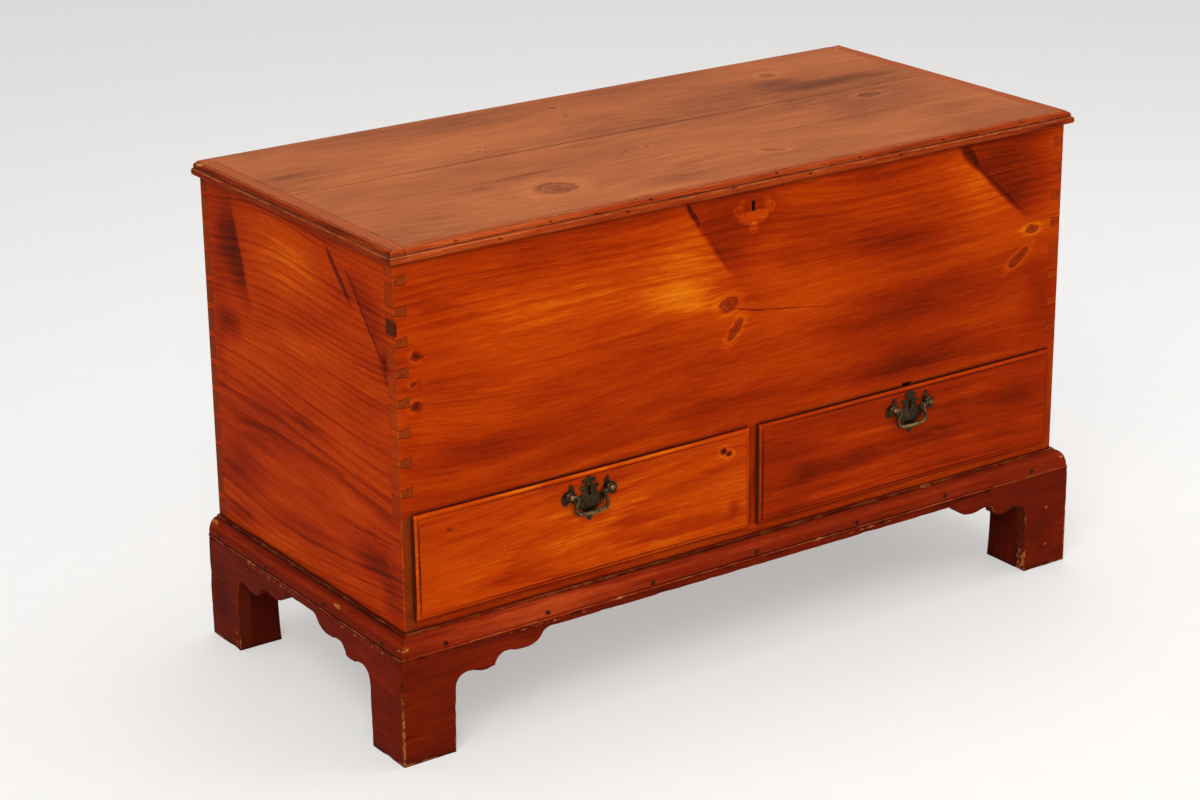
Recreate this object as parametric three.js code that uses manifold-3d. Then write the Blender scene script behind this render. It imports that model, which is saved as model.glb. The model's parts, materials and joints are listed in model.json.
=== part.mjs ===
// Two-drawer pine blanket chest on a bracket base, in millimetres, +Z up.
// X runs along the front, the front faces -Y, and the feet stand on Z = 0.

import * as THREE from 'three';
import { mergeVertices } from 'three/addons/utils/BufferGeometryUtils.js';
import Module from 'manifold-3d';

const wasm = await Module();
wasm.setup();

// Case
const caseWidth = 1178;
const caseDepth = 530;
const caseTop = 711;
const sideThickness = 19;
const frontThickness = 22;
const backThickness = 19;
const frontBoardLow = 352;
const sideSeam = 374;
const backSeam = 452;
const floorThickness = 16;
const bottomThickness = 18;
const housingDepth = 8;

// Base
const bracketHeight = 156.5;
const baseOverhang = 21;
const baseMouldingHeight = 31.5;
const railReveal = 18;
const footWidth = 83.5;
const footTaper = 2;
const footSpring = 96;
const scrollLength = 154;
const apronDrop = 9.5;
const innerBracketThickness = 18;
const frontInnerBracketDepth = 66;
const rearInnerBracketWidth = 49;
const innerBracketFlare = 20;
const footBlock = 38;

// Drawer openings
const stileWidth = 24;
const stileTenonLength = 8;
const stileTenonThickness = 10;
const guideHeight = 32;

// Corner dovetails
const pinDrop = 26;
const pinPitch = 42.3;
const pinWide = 14.7;
const pinNarrow = 10.5;

// Lid
const lidThickness = 19;
const lidOverhang = 11;
const lidBackOverhang = 5;
const lidSeamFromBack = 239;
const frontMouldingWidth = 16;
const endMouldingWidth = 29;

// Butt hinges
const hingeInset = 189;
const hingeLength = 76;
const leafDepth = 18;
const leafThickness = 2;
const leafSplit = 0.1;
const knuckleRadius = 4;
const knuckleCount = 5;
const hingePinRadius = 2;

// Chest lock, on the inside of the front board
const lockWidth = 100;
const lockHeight = 55;
const lockDepth = 14;
const lockTopDrop = 6;
const lockWall = 1.5;
const keyholeTopDrop = 18.5;
const keyholeHeight = 16;
const keyholeWidth = 6.5;
const stapleWidth = 60;
const stapleDepth = 10;
const staplePlate = 2;
const loopThickness = 4;
const loopDrop = 19;
const loopRim = 2;
const chestBoltLength = 30;
const chestBoltThickness = 5;
const chestBoltHeight = 6;
const chestBoltRetreat = 1.5;

// Drawers
const drawerClearance = 1.5;
const lipOverlap = 4;
const lipThickness = 8;
const lipEdge = 3;
const lipStep = 1;
const thumbnailWidth = 6.5;
const drawerBodyThickness = 14;
const drawerSideThickness = 12;
const drawerSideDrop = 6;
const drawerBackGap = 10;
const drawerBottomThickness = 8;
const drawerBottomRise = 8;
const grooveDepth = 6;
const socketDepth = 10;
const drawerTailCount = 3;
const drawerPinWide = 14;
const drawerPinNarrow = 9;

// Drawer locks
const drawerLockWidth = 56;
const drawerLockHeight = 36;
const drawerLockDepth = 10;
const drawerBoltWidth = 14;
const drawerBoltThickness = 4;
const drawerBoltHeight = 28;
const boltGuideDrop = 19;
const boltMortiseHeight = 8;
const boltMortiseWidth = 17;
const boltMortiseDepth = 12;

// Pulls
const postSpacing = 68;
const postDrop = 29.5;
const plateThickness = 1.5;
const plateHalfWidth = 46.5;
const plateRise = 22;
const plateFall = 42.5;
const plateKeyholeWidth = 5;
const plateKeyholeRise = 9;
const plateKeyholeFall = 6;
const plateNailHoleDrop = 11.5;
const plateNailHoleRadius = 1.8;
const ballRadius = 4.6;
const ballStandoff = 6;
const postNeckRadius = 3;
const collarRadius = 5;
const collarThickness = 1.5;
const shankRadius = 2.5;
const nutRadius = 4.8;
const nutThickness = 4;
const bailDrop = 29.5;
const bailPivotRadius = 1.5;
const bailNeckRadius = 2.1;
const bailGripRadius = 2.9;
const bailBoreRadius = 1.9;

// Fits
const gap = 0.3;
const halfGap = 0.15;
const runningGap = 0.5;
const overrun = 5;
const weld = 0.0001;

// Planes and edges worked out from the sizes above
const right = caseWidth / 2;
const left = -right;
const front = -caseDepth / 2;
const back = caseDepth / 2;
const sideInner = right - sideThickness;
const frontInner = front + frontThickness;
const backInner = back - backThickness;
const mouldingTop = bracketHeight + baseMouldingHeight;
const railTop = mouldingTop + railReveal;
const bottomLow = railTop - bottomThickness;
const floorTop = frontBoardLow + floorThickness;
const apronLow = bracketHeight - apronDrop;
const lidTop = caseTop + lidThickness;
const lidBack = back + lidBackOverhang;
const lidSeam = lidBack - lidSeamFromBack;
const hingeX = right - hingeInset;
const hingeY = lidBack;
const hingeZ = caseTop;
const drawerCentre = (stileWidth / 2 + sideInner) / 2;
const openingHalf = (sideInner - stileWidth / 2) / 2;

const wood = (color, roughness) => new THREE.MeshStandardMaterial({ color, roughness, metalness: 0 });
const finishes = {
  case: wood(0xb5450f, 0.42),
  lid: wood(0xa8603a, 0.5),
  base: wood(0x8f2a0e, 0.42),
  drawer: wood(0xb84a12, 0.42),
  inside: wood(0xb98a55, 0.75),
  brass: new THREE.MeshStandardMaterial({ color: 0x4d4023, roughness: 0.42, metalness: 0.9 }),
  iron: new THREE.MeshStandardMaterial({ color: 0x2c2826, roughness: 0.6, metalness: 0.85 }),
};

const chest = new THREE.Group();
chest.position.y = -(front - baseOverhang + hingeY + knuckleRadius) / 2;

// Solids and meshes

// Rewrites every corner of a geometry.
function place(geometry, move) {
  const position = geometry.getAttribute('position');
  for (let i = 0; i < position.count; i++) {
    position.setXYZ(i, ...move(position.getX(i), position.getY(i), position.getZ(i)));
  }
  return geometry;
}

// Turns a closed geometry into a solid that can be joined to others and cut by them.
function toSolid(geometry) {
  const bare = new THREE.BufferGeometry();
  bare.setAttribute('position', geometry.getAttribute('position'));
  bare.setIndex(geometry.index);
  const welded = mergeVertices(bare, weld);
  const corners = welded.index.array;
  const triangles = [];
  for (let i = 0; i < corners.length; i += 3) {
    const [a, b, c] = corners.slice(i, i + 3);
    if (a !== b && b !== c && c !== a) triangles.push(a, b, c);
  }
  const vertProperties = new Float32Array(welded.getAttribute('position').array);
  return new wasm.Manifold(new wasm.Mesh({ numProp: 3, vertProperties, triVerts: new Uint32Array(triangles) }));
}

// Turns a solid back into a geometry; mirrored gives its reflection in the plane X = 0.
function toGeometry(solid, mirrored) {
  const { vertProperties, triVerts } = solid.getMesh();
  const position = new THREE.BufferAttribute(new Float32Array(vertProperties), 3);
  const index = Array.from(triVerts);
  const geometry = new THREE.BufferGeometry().setAttribute('position', position);
  if (mirrored) {
    place(geometry, (x, y, z) => [-x, y, z]);
    index.reverse();
  }
  geometry.setIndex(index);
  geometry.computeVertexNormals();
  return geometry;
}

// Hangs a finished piece in the chest under its own name.
function add(name, solid, finish, mirrored = false) {
  const mesh = new THREE.Mesh(toGeometry(solid, mirrored), finish);
  mesh.name = name;
  chest.add(mesh);
}

// Adds a piece that is modelled for the left-hand side and its reflection on the right.
function addPair(nameOf, solid, finish) {
  add(nameOf('left'), solid, finish);
  add(nameOf('right'), solid, finish, true);
}

const union = (solids) => solids.reduce((whole, solid) => whole.add(solid));
const cut = (solid, tools) => tools.reduce((rest, tool) => rest.subtract(tool), solid);

// A block between two planes along each axis.
function block([x0, x1], [y0, y1], [z0, z1]) {
  const corner = (low, high) => (value) => (value < 0 ? low : high);
  const [atX, atY, atZ] = [corner(x0, x1), corner(y0, y1), corner(z0, z1)];
  return toSolid(place(new THREE.BoxGeometry(1, 1, 1), (x, y, z) => [atX(x), atY(y), atZ(z)]));
}

const curveSegments = 5;
const plateSegments = 4;
const slab = (shape) => new THREE.ExtrudeGeometry(shape, { depth: 1, bevelEnabled: false, curveSegments });

// An outline drawn in X and Z, as thick as the span from y0 to y1.
function slabXZ(shape, [y0, y1]) {
  return toSolid(place(slab(shape), (x, y, z) => [x, y1 + (y0 - y1) * z, y]));
}

// An outline drawn in Y and Z, as thick as the span from x0 to x1.
function slabYZ(shape, [x0, x1]) {
  return toSolid(place(slab(shape), (x, y, z) => [x0 + (x1 - x0) * z, x, y]));
}

function polygon(points) {
  return new THREE.Shape(points.map(([x, y]) => new THREE.Vector2(x, y)));
}

// A round bar along X.
function barX(radius, [x0, x1], y, z, sides = 16) {
  const bar = new THREE.CylinderGeometry(radius, radius, 1, sides);
  return toSolid(place(bar, (cx, cy, cz) => [x0 + (x1 - x0) * (1 / 2 - cy), y + cx, z + cz]));
}

// A round bar along Y.
function barY(radius, [y0, y1], x, z, sides = 16) {
  const bar = new THREE.CylinderGeometry(radius, radius, 1, sides);
  return toSolid(place(bar, (cx, cy, cz) => [x + cx, y0 + (y1 - y0) * (cy + 1 / 2), z + cz]));
}

// A skin through rings of equal length, with a flat cap at each end.
function loft(rings) {
  const size = rings[0].length;
  const index = [];
  for (let ring = 0; ring + 1 < rings.length; ring++) {
    for (let i = 0; i < size; i++) {
      const [a, b] = [ring * size + i, ring * size + ((i + 1) % size)];
      index.push(a, b, b + size, a, b + size, a + size);
    }
  }
  const last = (rings.length - 1) * size;
  for (let i = 1; i + 1 < size; i++) {
    index.push(0, i + 1, i, last, last + i, last + i + 1);
  }
  const geometry = new THREE.BufferGeometry();
  geometry.setAttribute('position', new THREE.Float32BufferAttribute(rings.flat(2), 3));
  geometry.setIndex(index);
  return toSolid(geometry);
}

// A moulding run along an edge: the profile is [outward, height], and reach gives how far each
// end passes the run's corner at that distance outward.
function moulding(profile, run, startReach, endReach) {
  const up = new THREE.Vector3(0, 0, 1);
  const along = new THREE.Vector3().crossVectors(run.outward, up);
  const frame = new THREE.Matrix4().makeBasis(run.outward, up, along).setPosition(run.origin);
  const geometry = place(slab(polygon(profile)), (u, h, t) => {
    return [u, h, t === 0 ? -startReach(u) : run.length + endReach(u)];
  });
  return toSolid(geometry.applyMatrix4(frame));
}

const mitre = (u) => u - halfGap;
const square = () => 0;

const frontRun = {
  outward: new THREE.Vector3(0, -1, 0),
  origin: new THREE.Vector3(right, front, 0),
  length: caseWidth,
};
const leftRun = (length) => ({
  outward: new THREE.Vector3(-1, 0, 0),
  origin: new THREE.Vector3(left, front, 0),
  length,
});

// Corner dovetails

// Heights of the pin centres, counted down from the top edge as far as the low edge.
function pinHeights(low) {
  const heights = [];
  for (let z = caseTop - pinDrop; z - pinWide / 2 > low; z -= pinPitch) heights.push(z);
  return heights;
}

// The pins of a left-hand corner; a positive growth gives their sockets.
function cornerPins(heights, [y0, y1], growth) {
  const [outer, inner] = [pinNarrow / 2 + growth, pinWide / 2 + growth];
  return heights.map((z) => slabXZ(polygon([
    [left, z - outer], [-sideInner, z - inner], [-sideInner, z + inner], [left, z + outer],
  ]), [y0, y1]));
}

const frontPinHeights = pinHeights(frontBoardLow);
const backPinHeights = pinHeights(bracketHeight);

// Cuts the sockets of both ends of a board that runs the whole width.
function socketed(board, heights, span) {
  const sockets = union(cornerPins(heights, span, halfGap));
  return cut(board, [sockets, toSolid(toGeometry(sockets, true))]);
}

const tenonMiddle = front + frontThickness / 2;
const tenonY = [tenonMiddle - stileTenonThickness / 2, tenonMiddle + stileTenonThickness / 2];

// A side board between two heights, its ends cut back to the pins.
function sideBoard(low, high) {
  const thick = [left, -sideInner];
  const within = (z) => z > low && z < high;
  let board = block(thick, [front, back], [low, high]);
  const frontLow = Math.max(low, frontBoardLow);
  const frontWaste = block(thick, [front, frontInner], [frontLow, high]);
  const frontPins = cornerPins(frontPinHeights.filter(within), [front, frontInner], -halfGap);
  const backWaste = block(thick, [backInner, back], [low, high]);
  const backPins = cornerPins(backPinHeights.filter(within), [backInner, back], -halfGap);
  board = cut(board, [cut(frontWaste, frontPins), cut(backWaste, backPins)]);
  const housed = [-sideInner - housingDepth, -sideInner];
  if (low < frontBoardLow) {
    board = cut(board, [
      block(housed, [frontInner, backInner], [frontBoardLow, floorTop]),
      block(housed, [frontInner, backInner], [bottomLow, railTop]),
      block(housed, tenonY, [low, railTop]),
    ]);
  }
  return board;
}

addPair((hand) => `side_${hand}_upper`, sideBoard(sideSeam, caseTop), finishes.case);
addPair((hand) => `side_${hand}_lower`, sideBoard(bracketHeight, sideSeam), finishes.case);

// A slot with a round head.
function keyholeShape(x, top, width, height) {
  const radius = width / 2;
  const shape = new THREE.Shape();
  shape.moveTo(x - radius, top - height);
  shape.lineTo(x + radius, top - height);
  shape.lineTo(x + radius, top - radius);
  shape.absarc(x, top - radius, radius, 0, Math.PI, false);
  return shape;
}

const stileX = [-stileWidth / 2, stileWidth / 2];
const keyholeTop = caseTop - keyholeTopDrop;
const boltY = front + drawerBodyThickness - drawerLockDepth / 2;

// The slot in the front board's lower edge that a drawer's bolt shoots into. The one over the
// right drawer has broken out to the face.
function boltMortise(x, broken) {
  const deep = [boltY - boltMortiseDepth / 2, boltY + boltMortiseDepth / 2];
  const wide = [x - boltMortiseWidth / 2, x + boltMortiseWidth / 2];
  const high = [frontBoardLow - overrun, frontBoardLow + boltMortiseHeight];
  return block(wide, [broken ? front - overrun : deep[0], deep[1]], high);
}

const frontBoard = block([left, right], [front, frontInner], [frontBoardLow, caseTop]);
add('front_board', cut(socketed(frontBoard, frontPinHeights, [front, frontInner]), [
  slabXZ(keyholeShape(0, keyholeTop, keyholeWidth, keyholeHeight), [front - overrun, frontInner + overrun]),
  boltMortise(-drawerCentre, false),
  boltMortise(drawerCentre, true),
  block(stileX, tenonY, [frontBoardLow - overrun, frontBoardLow + stileTenonLength]),
]), finishes.case);

const housedWidth = [-sideInner - housingDepth, sideInner + housingDepth];
add('front_rail', cut(union([
  block([-sideInner, sideInner], [front, frontInner], [bracketHeight, railTop]),
  block(housedWidth, tenonY, [bracketHeight, railTop]),
]), [block(stileX, tenonY, [railTop - stileTenonLength, railTop + overrun])]), finishes.case);

add('drawer_stile', union([
  block(stileX, [front, frontInner], [railTop, frontBoardLow]),
  block(stileX, tenonY, [railTop - stileTenonLength, frontBoardLow + stileTenonLength]),
]), finishes.case);

add('drawer_guide', block(stileX, [frontInner, backInner], [railTop, railTop + guideHeight]), finishes.inside);

add('case_bottom', block(housedWidth, [frontInner, backInner], [bottomLow, railTop]), finishes.inside);
add('well_floor', block(housedWidth, [frontInner, backInner], [frontBoardLow, floorTop]), finishes.inside);

// Hinges

const leafY = hingeY - knuckleRadius - leafDepth;
const knuckleLength = hingeLength / knuckleCount;

// The bed cut in the wood for one leaf, with the hollow that the knuckles turn in.
function hingeBed(x, [z0, z1]) {
  const wide = [x - hingeLength / 2 - gap, x + hingeLength / 2 + gap];
  return union([
    block(wide, [leafY - gap, hingeY + overrun], [z0, z1]),
    barX(knuckleRadius + runningGap, wide, hingeY, hingeZ),
  ]);
}

// One leaf with every second knuckle, bored for the pin.
function hingeLeaf([z0, z1], firstKnuckle) {
  const start = -hingeLength / 2;
  const plate = block([start, -start], [leafY, hingeY], [z0, z1]);
  const own = [];
  const other = [];
  for (let i = 0; i < knuckleCount; i++) {
    const span = [start + i * knuckleLength, start + (i + 1) * knuckleLength];
    const inset = [span[0] + halfGap, span[1] - halfGap];
    if (i % 2 === firstKnuckle) own.push(barX(knuckleRadius, inset, hingeY, hingeZ));
    else other.push(barX(knuckleRadius + gap, [span[0] - halfGap, span[1] + halfGap], hingeY, hingeZ));
  }
  const bore = barX(hingePinRadius + gap, [start - overrun, -start + overrun], hingeY, hingeZ);
  return cut(union([cut(plate, other), ...own]), [bore]);
}

const caseLeafZ = [hingeZ - leafSplit - leafThickness, hingeZ - leafSplit];
const lidLeafZ = [hingeZ + leafSplit, hingeZ + leafSplit + leafThickness];
const hingeParts = {
  case_leaf: hingeLeaf(caseLeafZ, 0),
  lid_leaf: hingeLeaf(lidLeafZ, 1),
  pin: barX(hingePinRadius, [-hingeLength / 2, hingeLength / 2], hingeY, hingeZ),
};

// A solid moved along X.
function shifted(solid, distance) {
  return toSolid(place(toGeometry(solid), (x, y, z) => [x + distance, y, z]));
}

for (const [name, solid] of Object.entries(hingeParts)) {
  addPair((hand) => `hinge_${hand}_${name}`, shifted(solid, -hingeX), finishes.iron);
}

const hingeXs = [-hingeX, hingeX];
const backBoard = (low, high) => socketed(
  block([left, right], [backInner, back], [low, high]),
  backPinHeights.filter((z) => z > low && z < high),
  [backInner, back],
);
const caseBeds = hingeXs.map((x) => hingeBed(x, [caseLeafZ[0] - gap, caseTop + overrun]));
add('back_board_upper', cut(backBoard(backSeam, caseTop), caseBeds), finishes.case);
add('back_board_lower', backBoard(bracketHeight, backSeam), finishes.case);

// Base

// Down the moulding from its top inner corner: ledge, quirk, quarter round and foot fillet.
const ledge = 4.5;
const ledgeDrop = 2;
const quirk = 1;
const footFillet = 1.5;
const footFilletHeight = 3;
function baseProfile() {
  const roundTop = mouldingTop - ledgeDrop - quirk;
  const roundLow = bracketHeight + footFilletHeight + footFillet;
  const [inner, outer] = [ledge + quirk, baseOverhang - footFillet];
  const steps = 7;
  const round = [];
  for (let i = 0; i <= steps; i++) {
    const angle = (Math.PI / 2) * (i / steps);
    round.push([
      inner + (outer - inner) * Math.sin(angle),
      roundLow + (roundTop - roundLow) * Math.cos(angle),
    ]);
  }
  return [
    [0, mouldingTop], [0, bracketHeight], [baseOverhang, bracketHeight],
    [baseOverhang, bracketHeight + footFilletHeight],
    ...round.reverse(),
    [inner, mouldingTop - ledgeDrop], [ledge, mouldingTop - ledgeDrop], [ledge, mouldingTop],
  ];
}

add('base_moulding_front', moulding(baseProfile(), frontRun, mitre, mitre), finishes.base);
addPair((hand) => `base_moulding_${hand}`,
  moulding(baseProfile(), leftRun(caseDepth), mitre, square), finishes.base);

// The scroll of a bracket foot, up from the floor: each row is a control point and an end point,
// in shares of the scroll's length and rise from the top of the foot's straight edge.
const scrollShares = [
  [[0.006, 0.35], [0.12, 0.394]],
  [[0.178, 0.398], [0.23, 0.33]],
  [[0.314, 0.235], [0.417, 0.34]],
  [[0.42, 0.39], [0.434, 0.447]],
  [[0.456, 0.62], [0.521, 0.65]],
  [[0.573, 0.676], [0.612, 0.631]],
  [[0.715, 0.545], [0.819, 0.612]],
  [[0.89, 0.67], [0.929, 0.854]],
  [[0.955, 0.97], [1, 1]],
];

// The inner outline of a foot whose outer corner is at `corner`; it heads along `way`.
function footOutline(corner, way) {
  const edge = footWidth + footTaper;
  const at = ([u, v]) => [
    corner + way * (edge + u * scrollLength),
    footSpring + v * (apronLow - footSpring),
  ];
  const path = new THREE.Path();
  path.moveTo(corner + way * footWidth, 0);
  path.lineTo(...at([0, 0]));
  for (const [control, end] of scrollShares) path.quadraticCurveTo(...at(control), ...at(end));
  const points = path.getPoints(curveSegments);
  return points.map((point) => [point.x, point.y]);
}

// A bracket board's outline between two ends, with a foot at each.
function bracketShape(start, startCorner, end, endCorner) {
  return polygon([
    [start, 0], ...footOutline(startCorner, 1), ...footOutline(endCorner, -1).reverse(),
    [end, 0], [end, bracketHeight], [start, bracketHeight],
  ]);
}

// Lengthens a board towards its outer face at each mitred end.
function mitredBoard(shape, mitredEnds) {
  return place(slab(shape), (x, y, z) => {
    const end = mitredEnds.find((value) => value === x);
    return [end === undefined ? x : end + Math.sign(end) * (z * baseOverhang - halfGap), y, z];
  });
}

const frontBracket = mitredBoard(
  bracketShape(left, left - baseOverhang, right, right + baseOverhang), [left, right],
);
add('bracket_front', toSolid(place(frontBracket, (x, y, z) => [x, front - baseOverhang * z, y])), finishes.base);

const sideBracket = mitredBoard(bracketShape(-back, -back, -front, baseOverhang - front), [-front]);
addPair((hand) => `bracket_${hand}`,
  toSolid(place(sideBracket, (x, y, z) => [left - baseOverhang * z, -x, y])), finishes.base);

// A board inside a foot, with a hollowed free edge that flares out under the case.
function innerBracketShape(fixed, way, width) {
  const waistShare = 0.06;
  const free = fixed + way * width;
  const waist = free - way * width * waistShare;
  const shape = new THREE.Shape();
  shape.moveTo(fixed, 0);
  shape.lineTo(free, 0);
  shape.quadraticCurveTo(waist, bracketHeight / 4, waist, bracketHeight / 2);
  shape.quadraticCurveTo(waist, bracketHeight, free + way * innerBracketFlare, bracketHeight);
  shape.lineTo(fixed, bracketHeight);
  return shape;
}

const footInnerX = left - baseOverhang + footWidth;
addPair((hand) => `inner_bracket_front_${hand}`, slabYZ(
  innerBracketShape(front, 1, frontInnerBracketDepth), [footInnerX - innerBracketThickness, footInnerX],
), finishes.base);
const footInnerY = back - footWidth;
addPair((hand) => `inner_bracket_rear_${hand}`, slabXZ(
  innerBracketShape(left, 1, rearInnerBracketWidth), [footInnerY, footInnerY + innerBracketThickness],
), finishes.base);
addPair((hand) => `foot_block_rear_${hand}`,
  block([left, left + footBlock], [back - footBlock, back], [0, bracketHeight]), finishes.inside);

// Lid

const stapleY = [frontInner + lockDepth / 2 - stapleDepth / 2, frontInner + lockDepth / 2 + stapleDepth / 2];
const lidHalf = right + lidOverhang - endMouldingWidth;
const lidFront = front - lidOverhang + frontMouldingWidth;
const lidSpan = [caseTop, lidTop];

add('lid_board_front', cut(block([-lidHalf, lidHalf], [lidFront, lidSeam], lidSpan), [
  block(
    [-stapleWidth / 2 - gap, stapleWidth / 2 + gap],
    [stapleY[0] - gap, stapleY[1] + gap],
    [caseTop - overrun, caseTop + staplePlate],
  ),
]), finishes.lid);

const lidBeds = hingeXs.map((x) => hingeBed(x, [caseTop - overrun, lidLeafZ[1] + gap]));
add('lid_board_rear', cut(block([-lidHalf, lidHalf], [lidSeam, lidBack], lidSpan), lidBeds), finishes.lid);

// Moulded edge in shares of the overhang and the thickness: step, upper round, groove, thumbnail.
const lidEdgeShares = [
  [0.86, 0], [0.95, 0.055], [1, 0.16], [1, 0.35], [0.93, 0.46], [0.79, 0.515],
  [0.63, 0.535], [0.63, 0.585], [0.69, 0.62], [0.67, 0.71], [0.56, 0.82], [0.37, 0.905],
  [0.14, 0.935], [0.14, 1],
];

function lidProfile(width) {
  const shoulder = lidOverhang - frontMouldingWidth;
  const inner = lidOverhang - width;
  const edge = lidEdgeShares.map(([u, v]) => [u * lidOverhang, caseTop + v * lidThickness]);
  const low = width > frontMouldingWidth ? [[inner, caseTop], [shoulder, caseTop]] : [[inner, caseTop]];
  const high = low.map(([u]) => [u, lidTop]).reverse();
  return [...low, ...edge, ...high];
}

// The end strip is mitred as far as the front strip is wide and butts against its back edge.
const lidEndReach = (u) => Math.max(u, lidOverhang - frontMouldingWidth) - halfGap;

add('lid_moulding_front', moulding(lidProfile(frontMouldingWidth), frontRun, mitre, mitre), finishes.lid);
addPair((hand) => `lid_moulding_${hand}`,
  moulding(lidProfile(endMouldingWidth), leftRun(caseDepth + lidBackOverhang), lidEndReach, square),
  finishes.lid);

// Chest lock

const loopLow = caseTop - loopDrop;
const loopX = [-loopThickness / 2, loopThickness / 2];
const eyeY = [stapleY[0] + loopRim, stapleY[1] - loopRim];
const eyeZ = [loopLow + 2 * loopRim, loopLow + 2 * loopRim + chestBoltHeight + runningGap];
add('lid_staple', cut(union([
  block([-stapleWidth / 2, stapleWidth / 2], stapleY, [caseTop, caseTop + staplePlate]),
  block(loopX, stapleY, [loopLow, caseTop + staplePlate]),
]), [block([-overrun, overrun], eyeY, eyeZ)]), finishes.iron);

const lockTop = caseTop - lockTopDrop;
const lockY = [frontInner, frontInner + lockDepth];
const lockZ = [lockTop - lockHeight, lockTop];
const lockX = [-lockWidth / 2, lockWidth / 2];
const boltZ = [eyeZ[0] + halfGap, eyeZ[0] + halfGap + chestBoltHeight];
const boltMidY = (stapleY[0] + stapleY[1]) / 2;
const chestBoltY = [boltMidY - chestBoltThickness / 2, boltMidY + chestBoltThickness / 2];
const chestBoltEnd = -loopThickness / 2 - chestBoltRetreat;
const grown = ([low, high], by) => [low - by, high + by];

// Two bridges inside the lock carry the bolt.
const bridgeXs = [chestBoltEnd - 2 * lockWall - chestBoltRetreat, chestBoltEnd - chestBoltLength + lockWall];
const bridges = bridgeXs.map((x) => block(
  [x, x + lockWall], [lockY[0] + lockWall, lockY[1] - lockWall], [boltZ[0] - lockDepth / 2, lockTop - lockWall],
));
const lockShell = cut(block(lockX, lockY, lockZ), [
  block(grown(lockX, -lockWall), [lockY[0] - overrun, lockY[1] - lockWall], grown(lockZ, -lockWall)),
]);
add('chest_lock_case', cut(union([lockShell, ...bridges]), [
  block(grown(loopX, runningGap), grown(stapleY, runningGap), [lockTop - lockWall - overrun, lockTop + overrun]),
  block([bridgeXs[1] - lockWall, chestBoltEnd], grown(chestBoltY, gap), grown(boltZ, gap)),
]), finishes.iron);
add('chest_lock_bolt',
  block([chestBoltEnd - chestBoltLength, chestBoltEnd], chestBoltY, boltZ), finishes.iron);

// Drawers, modelled about the middle of an opening at X = 0

const openingZ = [railTop, frontBoardLow];
const bodyHalf = openingHalf - drawerClearance;
const bodyZ = [openingZ[0] + drawerClearance, openingZ[1] - drawerClearance];
const lipHalf = openingHalf + lipOverlap;
const lipZ = [openingZ[0] - lipOverlap, openingZ[1] + lipOverlap];
const bodyBack = front + drawerBodyThickness;
const lipBack = front - gap;
const drawerFace = front - lipThickness;
const sideInside = bodyHalf - drawerSideThickness;
const drawerSideZ = [openingZ[0] + gap, openingZ[1] - drawerSideDrop];
const drawerBack = backInner - drawerBackGap;
const drawerBackInner = drawerBack - drawerSideThickness;
const drawerBottomZ = [openingZ[0] + drawerBottomRise, openingZ[0] + drawerBottomRise + drawerBottomThickness];
const drawerGroove = [drawerBottomZ[0], drawerBottomZ[1] + gap];

// Heights of the middles of equal shares of a span.
function spread([low, high], count) {
  return Array.from({ length: count }, (_, i) => low + (high - low) * ((i + 1 / 2) / count));
}

// A dovetail in the plane of a drawer side: wide at y1 and narrow at y0.
function drawerTail(z, [y0, y1], growth, [x0, x1]) {
  const [narrow, wide] = [drawerPinNarrow / 2 + growth, drawerPinWide / 2 + growth];
  const corners = [[y0, z - narrow], [y1, z - wide], [y1, z + wide], [y0, z + narrow]];
  return slabYZ(polygon(y0 < y1 ? corners : corners.reverse()), [x0, x1]);
}

// Tails at the drawer's front widen by the room that is left between the sockets.
const tailHeights = spread(drawerSideZ, drawerTailCount);
const tailNarrow = (drawerSideZ[1] - drawerSideZ[0]) / drawerTailCount - drawerPinWide;
const tailWide = (drawerSideZ[1] - drawerSideZ[0]) / drawerTailCount - drawerPinNarrow;
function frontTails(growth) {
  const tip = bodyBack - socketDepth - growth;
  return tailHeights.map((z) => slabYZ(polygon([
    [tip, z - tailWide / 2 - growth], [bodyBack, z - tailNarrow / 2 - growth],
    [bodyBack, z + tailNarrow / 2 + growth], [tip, z + tailWide / 2 + growth],
  ]), [-bodyHalf, -sideInside]));
}

const backBoardZ = [drawerBottomZ[1] + gap, drawerSideZ[1]];
const backPins = (growth) => spread(backBoardZ, drawerTailCount)
  .map((z) => drawerTail(z, [drawerBack, drawerBackInner], growth, [-bodyHalf, -sideInside]));

// The lipped front: body, lip and thumbnail edge as rectangles drawn through its depth.
function drawerFrontBoard() {
  const ring = (y, half, [z0, z1]) => [[half, y, z0], [half, y, z1], [-half, y, z1], [-half, y, z0]];
  const lipRing = (y, inset) => ring(y, lipHalf - inset, grown(lipZ, -inset));
  const roundBack = lipBack - lipEdge + gap;
  const roundFront = drawerFace + lipStep;
  const steps = 5;
  const round = [];
  for (let i = 0; i <= steps; i++) {
    const angle = (Math.PI / 2) * (i / steps);
    round.push(lipRing(
      roundBack + (roundFront - roundBack) * Math.sin(angle),
      thumbnailWidth * (1 - Math.cos(angle)),
    ));
  }
  return loft([
    ring(bodyBack, bodyHalf, bodyZ), ring(lipBack, bodyHalf, bodyZ), lipRing(lipBack, 0),
    ...round, lipRing(drawerFace, thumbnailWidth),
  ]);
}

const postZ = openingZ[1] + lipOverlap - postDrop;
const drawerLockX = [-drawerLockWidth / 2, drawerLockWidth / 2];
const drawerLockZ = [bodyZ[1] - drawerLockHeight, bodyZ[1]];
const drawerLockY = [bodyBack - drawerLockDepth, bodyBack];
const postXs = [-postSpacing / 2, postSpacing / 2];
const shankBore = (x, growth) => barY(shankRadius + growth, [drawerFace - overrun, bodyBack + overrun], x, postZ);
const plateKeyhole = keyholeShape(0, postZ + plateKeyholeRise, plateKeyholeWidth,
  plateKeyholeRise + plateKeyholeFall);

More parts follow.
